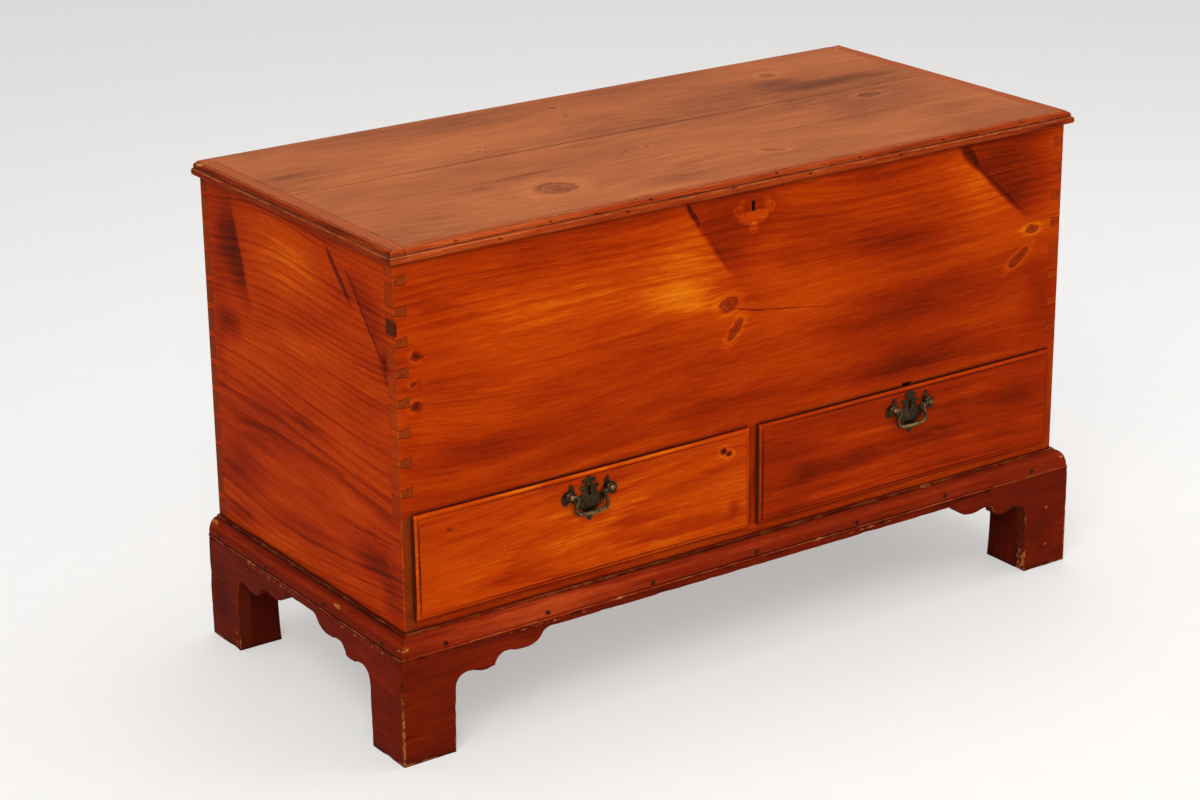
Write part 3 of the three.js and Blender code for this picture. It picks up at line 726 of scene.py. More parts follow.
    def material(self) -> Material:
        """Builds the finish.

        Returns:
            The material.
        """
        g, stain, sawn, here = self.graph, self.stain, self.sawn, self.here
        along, across, through = here
        bent = (along, self._bend(), through)
        patch = self._noise(bent, self.patches)
        streak = self._noise(bent, self.streaks)
        thread = self._noise(bent, self.threads)
        fibre = self._noise(here, self.fibres)
        slip_x = self._noise(here, self.slip_along) - 0.5
        slip_y = self._noise(here, self.slip_across) - 0.5
        loose, firm = (
            g.point(along + slip_x * slip[0], across + slip_y * slip[1], 0.0)
            for slip in (self.loose_slip, self.firm_slip)
        )
        late = self._rings(bent)
        knots, halos = self._knots()
        broad = self._marks(loose, [m for m in sawn.marks if m.soft > self.firm_limit])
        narrow = self._marks(firm, [m for m in sawn.marks if m.soft <= self.firm_limit])
        drop = (broad + narrow + self._flames(firm)) * (streak * 0.65 + 0.68)
        figure = (
            (patch - 0.5) * (self.patch_share * stain.patches)
            + (streak - 0.5) * (self.streak_share * stain.streaks)
            + (thread - 0.5) * (self.thread_share * stain.streaks)
            + (fibre - 0.5) * self.fibre_share
            + halos * self.halo_share
            - late * (stain.rings * sawn.rings)
        )
        tone = figure - drop - self._marks(self.face, sawn.stamps) + (stain.level + sawn.level)
        colour = self._ramp(stain.colours, tone)
        # Upward faces turn paler: partly real bleaching, partly a painted sheen.
        if stain.bleach_and_sheen:
            colour = g.mix(g.attribute("up") * (streak * 0.5 + 0.55), colour, stain.bleach_and_sheen)
        if self.one_sided:
            aged = self._ramp(self.aged, figure + self.aged_level)
            colour = g.mix(g.attribute("bare"), colour, aged)
        ends = g.attribute("end") * (fibre * 0.5 + 0.3) * sawn.ends
        colour = g.mix(ends, colour, stain.end)
        colour = g.mix(knots * 0.9, colour, stain.knot)
        worn, nicked = self._wear()
        colour = g.mix(nicked, colour, stain.colours[0])
        colour = g.mix(worn, colour, stain.worn)
        # Painted shade: ambient occlusion darkens corners, creases and gaps, and is mixed with the
        # real dark joints.
        occlusion = g.make(
            "ShaderNodeAmbientOcclusion", {"samples": self.shade_samples}, {"Distance": self.shade_reach}
        ).outputs["AO"]
        painted_shade = Value(g, occlusion).ease(0.42, 0.95, 1.0, 0.0)
        joints_and_shade = (g.attribute("joint") * 0.7).math("MAXIMUM", painted_shade) * (streak * 0.7 + 0.45)
        colour = g.mix(joints_and_shade.math("MINIMUM", self.deepest_grime_and_shade), colour, self.grime_and_shade)
        dull = (fibre - 0.5) * 0.16 + (patch - 0.5) * 0.14
        rough = dull + worn * 0.2 + (late * 0.05 + stain.rough)
        hollow = self._noise(here, self.hollows)
        height = hollow * 0.22 + fibre * 0.012 + late * 0.02 - nicked * 0.25 - knots * 0.05
        return g.finish(
            {
                "Base Color": colour,
                "Roughness": rough,
                "Specular IOR Level": self.specular,
                "Coat Weight": stain.coat,
                "Coat Roughness": self.coat_rough,
                "Normal": g.bump(height, self.relief),
            }
        )

    def _wear(self) -> tuple[Value, Value]:
        """Rubbed edges and small dark nicks.

        Returns:
            Where bare wood shows, and where a nick is.
        """
        g = self.graph
        rubbed = self._noise(self.here, self.rubbing)
        chipped = self._noise(self.here, self.chipping)
        worn = g.attribute("wear") * (rubbed.ease(0.40, 0.62) * self.stain.wear)
        if self.sawn.rubs:
            near = self._marks(self.face, self.sawn.rubs) + chipped * 1.3
            worn = worn.math("MAXIMUM", near.ease(1.22, 1.30, 0.0, 0.9))
        spaced = g.point(*[axis / self.nick_spacing + self.sawn.seed for axis in self.here])
        cells = g.make(
            "ShaderNodeTexVoronoi",
            {"feature": "F1"},
            {"Vector": spaced, "Scale": 1.0, "Randomness": 1.0},
        )
        lucky = g.make("ShaderNodeSeparateColor", {}, {0: cells.outputs["Color"]}).outputs[0]
        chance = Value(g, lucky).ease(0.70, 0.74)
        spot = Value(g, cells.outputs["Distance"]).ease(0.025, 0.060, 1.0, 0.0)
        return worn.math("MINIMUM", self.barest_rub), spot * chance * self.stain.nicks


@dataclass(frozen=True)
class MetalFinish:
    """Old metal: its body colour, the colour where it is rubbed, and how dull it lies."""

    mottling = Layer((5.0, 5.0, 5.0), 1.7, 4.0, 0.62)
    clouding = Layer((22.0, 22.0, 22.0), 4.2)
    metallic = 0.92
    relief = 0.6

    name: str
    body: Colour
    rubbed: Colour
    crust: Colour
    rough: float
    rub: float = 0.5

    def material(self) -> Material:
        """Builds the finish.

        Returns:
            The material.
        """
        g = Graph(self.name)
        here = g.place()
        mottle = g.cloud(here, self.mottling)
        broad = g.cloud(here, self.clouding)
        colour = g.mix(mottle.ease(0.35, 0.7), self.body, self.crust)
        bright = (g.attribute("wear") * self.rub + (broad - 0.5) * 0.3) * mottle.ease(0.75, 0.35)
        bright = bright.math("MAXIMUM", 0.0).math("MINIMUM", 1.0)
        colour = g.mix(bright, colour, self.rubbed)
        height = mottle * 0.08 + broad * 0.05
        rough = (mottle - 0.5) * 0.25 - bright * 0.16 + self.rough
        return g.finish(
            {
                "Base Color": colour,
                "Metallic": self.metallic,
                "Roughness": rough,
                "Normal": g.bump(height, self.relief),
            }
        )


BRASS = MetalFinish(
    name="brass",
    body=(0.038, 0.022, 0.007),
    rubbed=(0.46, 0.30, 0.11),
    crust=(0.014, 0.008, 0.003),
    rough=0.34,
    rub=0.55,
)
IRON = MetalFinish(
    name="iron",
    body=(0.060, 0.052, 0.047),
    rubbed=(0.20, 0.18, 0.16),
    crust=(0.035, 0.022, 0.016),
    rough=0.60,
    rub=0.45,
)
RUST = MetalFinish(
    name="rust",
    body=(0.026, 0.015, 0.010),
    rubbed=(0.090, 0.060, 0.045),
    crust=(0.016, 0.009, 0.006),
    rough=0.74,
    rub=0.2,
)


class Growth(Wiring):
    """A geometry tree with named inputs and one output, called Shape."""

    def __init__(self, name: str, inputs: dict[str, str]) -> None:
        """Makes the tree with its inputs.

        Args:
            name: the tree's name.
            inputs: the type of each input by its name.
        """
        tree = bpy.data.node_groups.new(name, "GeometryNodeTree")
        for label, kind in inputs.items():
            tree.interface.new_socket(label, in_out="INPUT", socket_type=kind)
        tree.interface.new_socket("Shape", in_out="OUTPUT", socket_type="NodeSocketGeometry")
        super().__init__(tree)
        self.given = self.make("NodeGroupInput", {}, {}).outputs

    def ended(self, shape: NodeSocket, material: Material) -> "Growth":
        """Ends the tree: real geometry goes out with its material.

        Args:
            shape: the geometry.
            material: its finish.

        Returns:
            The tree.
        """
        real = self.make("GeometryNodeRealizeInstances", {}, {"Geometry": shape}).outputs[0]
        dressed = {"Geometry": real, "Material": material}
        finished = self.make("GeometryNodeSetMaterial", {}, dressed).outputs[0]
        self.make("NodeGroupOutput", {}, {"Shape": finished})
        return self

    def grow(self, seed: Mesh, values: dict[str, Any], name: str, body: str, slot: str) -> Object:
        """Runs the tree on a mesh and keeps the result as a plain mesh on a body.

        Args:
            seed: the mesh that the tree starts from.
            values: the tree's inputs by name.
            name: the piece's name.
            body: the body that it rides on.
            slot: the material slot of the record; not used.

        Returns:
            The plain piece.
        """
        carrier = put(name + "_carrier", seed)
        modifier = carrier.modifiers.new("shape", "NODES")
        modifier.node_group = self.tree
        for item in self.tree.interface.items_tree:
            if item.in_out == "INPUT" and item.name in values:
                modifier[item.identifier] = values[item.name]
        graph = bpy.context.evaluated_depsgraph_get()
        made = bpy.data.meshes.new_from_object(carrier.evaluated_get(graph), depsgraph=graph)
        bpy.data.objects.remove(carrier)
        made.name = name
        piece = put(name, made)
        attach(piece, body)
        return piece


class Head(Enum):
    """The heads that hold the chest together."""

    CUT_NAIL = "cut nail"
    SCREW = "screw"


@dataclass(frozen=True)
class Fixings:
    """A set of like heads, made by one node tree: where they sit and which way they face.

    The shapes of the heads are shares of the head's size.
    """

    nail_shape = (1.0, 0.62, 0.34)
    screw_sides = 20
    screw_depth = 0.16
    cut_shape = (1.2, 0.13, 0.2)
    cut_lift = 0.1
    least_turn = (-0.04, -0.04, -1.5)
    most_turn = (0.04, 0.04, 1.5)

    name: str
    head: Head
    places: tuple[tuple[float, float, float], ...]
    turn: tuple[float, float, float]
    size: float
    body: str
    slot: str
    seed: int = 1

    def _growth(self, material: Material) -> Growth:
        """Builds the tree that sets a head on every point.

        Args:
            material: the heads' finish.

        Returns:
            The tree.
        """
        growth = Growth(
            self.name + "_heads",
            {
                "Points": "NodeSocketGeometry",
                "Head size": "NodeSocketFloat",
                "Facing": "NodeSocketVector",
                "Seed": "NodeSocketInt",
            },
        )
        make, given = growth.make, growth.given
        if self.head is Head.CUT_NAIL:
            shape = make("GeometryNodeMeshCube", {}, {"Size": self.nail_shape}).outputs["Mesh"]
        else:
            disc = make(
                "GeometryNodeMeshCylinder",
                {},
                {"Vertices": self.screw_sides, "Radius": 0.5, "Depth": self.screw_depth},
            ).outputs["Mesh"]
            cutter = make("GeometryNodeMeshCube", {}, {"Size": self.cut_shape}).outputs["Mesh"]
            lifted = make(
                "GeometryNodeTransform",
                {},
                {"Geometry": cutter, "Translation": (0.0, 0.0, self.cut_lift)},
            ).outputs["Geometry"]
            shape = make(
                "GeometryNodeMeshBoolean",
                {"operation": "DIFFERENCE"},
                {"Mesh 1": disc, "Mesh 2": lifted},
            ).outputs["Mesh"]
        spin = make(
            "FunctionNodeRandomValue",
            {"data_type": "FLOAT_VECTOR"},
            {"Min": self.least_turn, "Max": self.most_turn, "Seed": given["Seed"]},
        ).outputs["Value"]
        heads = make(
            "GeometryNodeInstanceOnPoints",
            {},
            {"Points": given["Points"], "Instance": shape, "Scale": given["Head size"]},
        ).outputs["Instances"]
        for turn in (given["Facing"], spin):
            heads = make(
                "GeometryNodeRotateInstances", {}, {"Instances": heads, "Rotation": turn}
            ).outputs["Instances"]
        return growth.ended(heads, material)

    @classmethod
    def in_corners(
        cls,
        name: str,
        lock: str,
        margins: tuple[float, float, float],
        size: float,
        body: str,
        seed: int,
    ) -> "Fixings":
        """Four screws in the corners of a lock case's inner face.

        Args:
            name: the set's name.
            lock: the lock case's node.
            margins: their distance from its sides, its lower end and its upper end.
            size: their size.
            body: the body that they ride on.
            seed: turns their slots.

        Returns:
            The set.
        """
        low, high = (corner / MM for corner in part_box(lock))
        aside, below, above = margins
        places = tuple(
            (x, high.y, z)
            for x in (low.x + aside, high.x - aside)
            for z in (low.z + below, high.z - above)
        )
        return cls(name, Head.SCREW, places, (-90.0, 0.0, 0.0), size, body, "iron", seed)

    def build(self, material: Material) -> Object:
        """Makes the heads as one plain mesh that rides on its body.

        Args:
            material: the heads' finish.

        Returns:
            The piece.
        """
        mesh = bpy.data.meshes.new(self.name + "_points")
        mesh.from_pydata([[c * MM for c in place] for place in self.places], [], [])
        values = {
            "Head size": self.size * MM,
            "Facing": tuple(math.radians(a) for a in self.turn),
            "Seed": self.seed,
        }
        return self._growth(material).grow(mesh, values, self.name, self.body, self.slot)


class Bench:
    """Where boards and metal get their eased edges, their finish and their place on the chest."""

    joint_reach = 1.1
    weld = 2e-6
    cut_reach = 1e-7
    flat_turn = 0.6
    sharp_turn = 32.0
    crease_turn = 38.0
    square = 0.95
    end_square = 0.9
    bevel_profile = 0.62
    bite_blots: Place = (31.0, 8.0)
    bite_offset = 0.15
    bite_gain = 3.0

    def __init__(self) -> None:
        """Reads which body and slot each node belongs to."""
        record = frame["record"]
        bodies = record["behaviour"]["bodies"]
        self.body_of = {node: body for body, nodes in bodies.items() for node in nodes}
        self.slot_of = {part["node"]: part["material_slot"] for part in record["subparts"]}
        self.materials: dict[str, Material] = {}
        corners, faces, self.owners = [], [], []
        for name, node in frame["nodes"].items():
            start = len(corners)
            corners += [vertex.co for vertex in node.data.vertices]
            for polygon in node.data.polygons:
                faces.append([start + i for i in polygon.vertices])
                self.owners.append(name)
        self.tree = BVHTree.FromPolygons(corners, faces)

    def touches(self, node: str, place: Vector, reach: float) -> bool:
        """Whether another piece lies within reach of a place on a node, in metres."""
        near = self.tree.find_nearest_range(place, reach)
        return any(self.owners[index] != node for _, _, index, _ in near)

    def finish(self, metal: MetalFinish) -> Material:
        """The material of a metal, made once.

        Args:
            metal: the metal.

        Returns:
            The material.
        """
        if metal.name not in self.materials:
            self.materials[metal.name] = metal.material()
        return self.materials[metal.name]

    def seat(self, piece: Object, *nodes: str) -> Object:
        """Puts a dressed piece in the place of its nodes.

        Args:
            piece: the dressed piece.
            nodes: the nodes that it stands for.

        Returns:
            The piece.
        """
        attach(piece, self.body_of[nodes[0]])
        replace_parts(piece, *nodes)
        return piece

    def ease(
        self,
        node: str,
        material: Material,
        easing: float,
        grain: Optional[Grain] = None,
        chips: float = 0.0,
        step: float = 11.0,
        unstained: Sequence[float] = (0.0, 0.0, 0.0),
    ) -> Object:
        """Dresses a node: its sharp outer edges are eased and worn.

        Args:
            node: the node to dress.
            material: its finish.
            easing: how wide the edges are eased, in millimetres.
            grain: which way its grain runs, if it is of wood.
            chips: how deep wear bites into the eased edges, in millimetres.
            step: the length of edge between two bites, in millimetres.
            unstained: the way that its bare face looks, or nothing but zeros.

        Returns:
            The dressed piece.
        """
        shape = bmesh.new()
        shape.from_mesh(frame["nodes"][node].data)
        bmesh.ops.remove_doubles(shape, verts=shape.verts, dist=self.weld)
        flat = math.radians(self.flat_turn)
        bmesh.ops.dissolve_limit(shape, angle_limit=flat, verts=shape.verts, edges=shape.edges)
        if chips:
            self._divide(shape, step * MM)
        names = ("wear", "joint", "end", "up", "bare")
        wear, joint, end, up, bare = (shape.faces.layers.float.new(name) for name in names)
        for face in shape.faces:
            face[up] = float(face.normal.z > self.square)
            face[bare] = float(face.normal.dot(unstained) > self.square)
            if grain:
                face[end] = float(abs(face.normal[grain.value[0]]) > self.end_square)
        turn = math.radians(self.sharp_turn)
        sharp = [
            edge
            for edge in shape.edges
            if len(edge.link_faces) == 2 and edge.calc_face_angle_signed(0.0) > turn
        ]
        made = bmesh.ops.bevel(
            shape,
            geom=sharp,
            offset=easing * MM,
            segments=2,
            profile=self.bevel_profile,
            affect="EDGES",
            clamp_overlap=True,
        )
        for face in made["faces"]:
            near = self.touches(node, face.calc_center_median(), self.joint_reach * MM)
            face[joint if near else wear] = 1.0
        if chips:
            self._bite(shape, {v for face in made["faces"] for v in face.verts}, chips * MM)
        bmesh.ops.triangulate(shape, faces=[f for f in shape.faces if len(f.verts) > 4])
        for face in shape.faces:
            face.smooth = True
        piece = solid_piece("dressed_" + node, shape, material, self.crease_turn)
        weighted = piece.modifiers.new("broad faces lie flat", "WEIGHTED_NORMAL")
        weighted.keep_sharp = True
        return self.seat(piece, node)

    def _divide(self, shape: BMesh, step: float) -> None:
        """Cuts a board across at every step, so that its edges can be bitten.

        Args:
            shape: the board.
            step: the distance between cuts, in metres.
        """
        for axis in range(3):
            values = [v.co[axis] for v in shape.verts]
            low, high = min(values), max(values)
            count = int((high - low) / step)
            normal = Vector([float(other == axis) for other in range(3)])
            for i in range(1, count):
                at = normal * (low + (high - low) * i / count)
                bmesh.ops.bisect_plane(
                    shape,
                    geom=shape.verts[:] + shape.edges[:] + shape.faces[:],
                    dist=self.cut_reach,
                    plane_co=at,
                    plane_no=normal,
                )

    def _bite(self, shape: BMesh, corners: set[BMVert], depth: float) -> None:
        """Moves the points of eased edges inwards by uneven amounts.

        Args:
            shape: the board.
            corners: the points on its eased edges.
            depth: the deepest bite, in metres.
        """
        shape.normal_update()
        moves = {}
        for corner in corners:
            place = corner.co / MM
            soft = sum(noise.noise(place / blot) for blot in self.bite_blots) / 2
            bite = max(0.0, soft + self.bite_offset) ** 2 * self.bite_gain
            moves[corner] = -corner.normal * min(1.0, bite) * depth
        low, high = ([pick(v.co[i] for v in shape.verts) for i in range(3)] for pick in (min, max))
        for corner, move in moves.items():
            moved = zip(corner.co + move, low, high)
            corner.co = Vector([min(max(value, least), most) for value, least, most in moved])


@dataclass(frozen=True)
class Timber:
    """Boards that share a finish: how they are stained and sawn, and which face is bare."""

    nodes: tuple[str, ...]
    stain: Stain
    sawn: Sawn
    easing: float = 0.45
    chips: float = 0.0
    unstained: tuple[float, float, float] = (0.0, 0.0, 0.0)

    def dress(self, bench: Bench) -> list[Object]:
        """Dresses the boards.

        Args:
            bench: where the edges are eased.

        Returns:
            The dressed boards.
        """
        name = self.nodes[0] + "_pine"
        pine = PineFinish(name, self.stain, self.sawn, any(self.unstained)).material()
        look = {"grain": self.sawn.grain, "chips": self.chips, "unstained": self.unstained}
        return [bench.ease(node, pine, self.easing, **look) for node in self.nodes]


@dataclass
class Joinery(ABC):
    """A part of the chest that is made of boards."""

    bench: Bench

    @abstractmethod
    def timbers(self) -> list[Timber]:
        """Every board with its figure."""

    def dress(self) -> list[Object]:
        """Dresses every board."""
        return [piece for timber in self.timbers() for piece in timber.dress(self.bench)]


@dataclass
class Case(Joinery):
    """The dovetailed case with its back, floor and drawer dividers."""

    def front_board(self) -> Sawn:
        """The front board's figure: its knots, dark flames and bright fields.

        Returns:
            The figure.
        """
        return Sawn(
            grain=Grain.FRONT,
            seed=11.0,
            pith=(455.0, 92.0),
            ring=5.2,
            wander=46.0,
            knots=(
                Knot((-43.6, 547.7), (14.0, 9.0), 8.0, 0.8),
                Knot((-30.5, 509.0), (17.0, 6.5), 50.0, 0.9),
                Knot((532.0, 555.0), (11.0, 6.0), 0.0, 0.9),
                Knot((508.0, 515.0), (20.0, 6.5), 35.0, 0.8),
                Knot((-560.0, 576.0), (6.0, 4.5), -30.0, 1.1),
                Knot((-564.0, 539.0), (4.5, 3.5), 0.0, 1.1),
                Knot((-563.0, 508.0), (6.0, 5.0), 20.0, 1.0),
            ),
            ends=0.5,
            marks=mark_rows(
                (-215, 598, 225, 74, -0.16, -10), (-95, 556, 110, 40, -0.2, -20),
                (-390, 592, 200, 70, -0.09, -4), (-300, 530, 260, 40, -0.08, 2),
                (-555, 578, 12, 7, 0.36, -35, 0.5), (-557, 540, 8, 4, 0.22, 0, 0.5),
                (-557, 507, 9, 10, 0.34, 20, 0.5), (-106, 690, 26, 6, 0.4, -62, 0.5),
                (-66, 632, 58, 4.5, 0.14, -54, 0.5), (403, 688, 34, 13, 0.3, -50, 0.5),
                (466, 626, 80, 7, 0.14, -42, 0.5), (90, 640, 150, 50, 0.1, -12),
                (250, 588, 170, 34, 0.2, -3), (70, 596, 110, 24, 0.18, -8),
                (330, 500, 190, 26, 0.14, 2), (200, 470, 260, 20, 0.12),
                (360, 430, 330, 110, 0.1), (330, 392, 300, 38, 0.26, 1),
                (560, 450, 60, 90, 0.18), (-60, 400, 140, 18, 0.14), (-450, 422, 170, 34, 0.15),
                (-300, 385, 200, 18, 0.12, 2), (-150, 392, 430, 42, 0.09),
                (-535, 640, 46, 26, 0.1, -20), (-400, 682, 190, 20, 0.04, -4),
                (-190, 697, 150, 14, 0.12, -4), (-570, 470, 30, 90, 0.1),
                (240, 690, 150, 12, 0.12),
            ),
            flames=(
                Flame((-70.0, 640.0), 94.0, 170.0, 0.20, -53.5),
                Flame((-78.0, 640.0), 96.0, 175.0, -0.21, 126.5),
                Flame((455.0, 634.0), 130.0, 170.0, 0.34, -42.5),
                Flame((440.0, 646.0), 112.0, 90.0, -0.18, 137.5),
            ),
            stamps=mark_rows(
                (1, 668, 31, 13, -0.28, 0, 0.3), (0, 653, 9, 12, -0.2, 0, 0.4),
                (-26, 680, 13, 11, -0.18, 0, 0.35), (29, 679, 13, 11, -0.18, 0, 0.35),
                (-20, 692, 9, 6, -0.14, 30, 0.6), (24, 691, 9, 6, -0.14, -30, 0.6),
                (-29.5, 683, 1.6, 1.6, 0.9, 0, 0.4), (33, 681, 1.6, 1.6, 0.9, 0, 0.4),
                (-0.5, 647.5, 1.4, 1.4, 0.9, 0, 0.4), (28, 667, 1.4, 1.4, 0.7, 0, 0.4),
                (-589, 620, 4, 14, 0.55, 0, 0.4), (62, 521.5, 98, 1, 0.42, -8.6, 0.5),
                (-8, 533, 40, 2.4, 0.3, -14, 0.6),
            ),
        )

    def side(self, hand: str) -> Sawn:
        """A side's figure; the left one has the dark flames that the photograph shows.

        Args:
            hand: left or right.

        Returns:
            The figure.
        """
        if hand == "right":
            return Sawn(
                grain=Grain.SIDE,
                seed=29.0,
                pith=(300.0, 520.0),
                ring=6.5,
                marks=mark_rows(
                    (-180, 610, 90, 40, 0.18, 30), (120, 420, 170, 26, 0.14, -4),
                    (60, 560, 160, 60, -0.1, 6),
                ),
                knots=(Knot((96.0, 470.0), (13.0, 9.0), 20.0, 0.8),),
                ends=0.4,
            )
        return Sawn(
            grain=Grain.SIDE,
            seed=23.0,
            pith=(330.0, -470.0),
            ring=8.5,
            wander=58.0,
            rings=1.9,
            marks=mark_rows(
                (226, 600, 40, 130, 0.16, 4), (206, 508, 54, 42, 0.32),
                (240, 470, 34, 90, 0.14), (-116, 659, 60, 6.5, 0.4, 48, 0.5),
                (-140, 655, 40, 14, 0.14, 50), (-184, 614, 90, 3, 0.26, 50.5, 0.5),
                (-232, 560, 16, 34, 0.3), (20, 635, 150, 70, -0.2),
                (-60, 540, 130, 40, -0.1, -10), (-190, 500, 90, 16, 0.16),
                (-20, 410, 100, 14, 0.2), (-60, 366, 230, 10, 0.18, 3),
                (140, 368, 130, 12, 0.2, -4), (-200, 350, 90, 22, 0.2, 6),
                (-196, 268, 100, 50, 0.3, 4), (-236, 225, 50, 44, 0.22),
                (-228, 276, 14, 5, -0.24), (190, 290, 120, 60, 0.26), (150, 340, 120, 16, 0.18),
                (210, 212, 90, 22, 0.26), (20, 240, 210, 36, 0.17), (60, 320, 150, 16, -0.1),
            ),
            flames=(
                Flame((160.0, 622.0), 104.0, 80.0, 0.42, -107.0),
                Flame((-182.0, 615.0), 96.0, 60.0, 0.22, 50.5),
            ),
        )

    def timbers(self) -> list[Timber]:
        """Every board of the case with its figure.

        Returns:
            The boards.
        """
        back_knots = (Knot((-210.0, 610.0), (16.0, 11.0), 10.0), Knot((330.0, 520.0), (12.0, 9.0)))
        back = Sawn(Grain.FRONT, 41.0, (560.0, 420.0), 6.0, level=-0.06, knots=back_knots)
        low_back = Sawn(Grain.FRONT, 43.0, (300.0, 420.0), 6.5, level=-0.08)
        inside = Sawn(Grain.TOP, 47.0, (0.0, 900.0), 6.0, 40.0, -0.12)
        rail = Sawn(Grain.FRONT, 31.0, (120.0, 60.0), 4.0, 12.0)
        stile = Sawn(Grain.UPRIGHT, 37.0, (40.0, 60.0), 4.0, 8.0, -0.14)
        rearwards, forwards = (0.0, 1.0, 0.0), (0.0, -1.0, 0.0)
        timbers = [
            Timber(("front_board",), ORANGE, self.front_board(), unstained=rearwards),
            Timber(("front_rail",), ORANGE, rail, unstained=rearwards),
            Timber(("drawer_stile",), ORANGE, stile, unstained=rearwards),
            Timber(("back_board_upper",), ORANGE, back, unstained=forwards),
            Timber(("back_board_lower",), ORANGE, low_back, unstained=forwards),
            Timber(("case_bottom", "well_floor", "drawer_guide"), BARE, inside),
        ]
        for hand, inwards in (("left", 1.0), ("right", -1.0)):
            sides = (f"side_{hand}_upper", f"side_{hand}_lower")
            timbers.append(Timber(sides, ORANGE, self.side(hand), unstained=(inwards, 0.0, 0.0)))
        return timbers


@dataclass
class BracketBase(Joinery):
    """The moulded base: mouldings, scroll-cut brackets, inner brackets and corner blocks."""

    nail_size: float = 6.0
    nail_sink: float = 2.4
    foot: float = 83.5
    nails_front: tuple[Place, ...] = (
        (-537.0, 166.0), (-370.0, 167.2), (-190.0, 165.0), (-4.0, 166.4), (185.0, 166.0),
        (358.0, 167.0), (535.0, 165.4),
    )
    nails_side: tuple[Place, ...] = ((-228.0, 166.0), (-70.0, 167.0), (96.0, 165.4), (240.0, 166.2))

    def timbers(self) -> list[Timber]:
        """Every board of the base with its figure.

        Returns:
            The boards.
        """
        timbers = []
        for i, (part, grain) in enumerate(GRAIN_OF_SIDE.items()):
            nails = self.nails_front if part == "front" else self.nails_side
            moulded = Sawn(
                grain=grain,
                seed=53.0 + 3 * i,
                pith=(120.0, 90.0),
                ring=4.0,
                wander=14.0,
                level=0.14 if part == "front" else 0.06,
                # On the front moulding, the pale patch on the left is painted light falling from
                # the left.
                marks=(Mark((-400.0, 170.0), (290.0, 30.0), -0.34),) if part == "front" else (),
                stamps=(
                    *(Mark(place, (6.5, 5.0), 0.40) for place in nails),
                    *mark_rows(
                        # The pale band along the round is a painted highlight; the dark lines lie
                        # along its top and bottom joints.
                        (0, 177, 760, 7, -0.2), (0, 185.6, 760, 1.3, 0.55, 0, 0.6),
                        (0, 160.6, 760, 1.5, 0.45, 0, 0.6),
                    ),
                ),
                rubs=self.moulding_rubs(part),
            )
            wood = Timber((f"base_moulding_{part}",), DEEP_RED, moulded, easing=0.8, chips=1.0)
            timbers.append(wood)
            sawn = Sawn(
                grain=grain,
                seed=54.0 + 3 * i,
                pith=(60.0, 120.0),
                ring=4.5,
                wander=22.0,
                level=-0.02 * i,
                marks=self.bracket_marks(part),
                stamps=self.pegs(part),
                rubs=self.foot_rubs(part),
            )
            timbers.append(Timber((f"bracket_{part}",), DEEP_RED, sawn, easing=1.6, chips=2.6))
        inner = tuple(
            f"inner_bracket_{end}_{hand}" for end in ("front", "rear") for hand in ("left", "right")
        )
        hidden = Sawn(Grain.UPRIGHT, 67.0, level=-0.22)
        timbers.append(Timber(inner, DEEP_RED, hidden, easing=0.8))
        blocks = ("foot_block_rear_left", "foot_block_rear_right")
        block = Sawn(Grain.UPRIGHT, 71.0, level=-0.15)
        timbers.append(Timber(blocks, BARE, block, easing=0.8))
        return timbers

    def dress(self) -> list[Object]:
        """Dresses the base and drives its nails."""
        return super().dress() + self.nails()

    def bracket_marks(self, part: str) -> tuple[Mark, ...]:
        """Deep and pale patches of one bracket board.

        Args:
            part: which board it is: front, left or right.

        Returns:
            The marks.
        """
        if part == "front":
            return mark_rows(
                (-400, 130, 160, 22, -0.24), (430, 135, 120, 20, -0.12),
                (-575, 60, 40, 50, -0.08), (555, 70, 40, 60, 0.1),
            )
        return mark_rows(
            (-200, 120, 90, 30, -0.12), (230, 60, 50, 70, 0.12), (60, 140, 120, 12, 0.1),
        )

    def moulding_rubs(self, part: str) -> tuple[Mark, ...]:
        """Where one moulding is rubbed and chipped to bare wood.

        Args:
            part: which board it is: front, left or right.

        Returns:
            The marks.
        """
        if part == "front":
            spots = ((-606, 172), (-250, 157.5), (110, 158), (330, 187), (606, 176))
        else:
            spots = ((-105, 176), (-277, 170), (140, 158), (262, 180))
        return tuple(Mark(spot, (20.0, 5.0), 0.62, 0.0, 0.6) for spot in spots)

    def foot_rubs(self, part: str) -> tuple[Mark, ...]:
        """Where one bracket board's corners and foot ends are rubbed and chipped.

        Args:
            part: which board it is: front, left or right.

        Returns:
            The marks.
        """
        half = 610.0 if part == "front" else 280.0
        corners = (-half, half) if part == "front" else (-half,)
        marks = [Mark((x, 50.0), (5.0, 110.0), 0.64, 0.0, 0.6) for x in corners]
        marks += [Mark((x, 0.0), (110.0, 7.0), 0.66, 0.0, 0.6) for x in (-half, half)]
        inner = half - self.foot
        marks += [Mark((x, 16.0), (3.0, 40.0), 0.56, 0.0, 0.6) for x in (-inner, inner)]
        marks += [Mark((x, 154.0), (150.0, 3.0), 0.52, 0.0, 0.6) for x in (-half * 0.6, half * 0.3)]
        return tuple(marks)

    def pegs(self, part: str) -> tuple[Mark, ...]:
        """The pale ends of the two pegs in the right front foot.

        Args:
            part: which board it is: front, left or right.

        Returns:
            The marks.
        """
        if part != "front":
            return ()
        places = ((568.0, 99.0), (569.0, 37.0))
        return tuple(Mark(place, (3.2, 3.2), -0.55, 0.0, 0.25) for place in places)

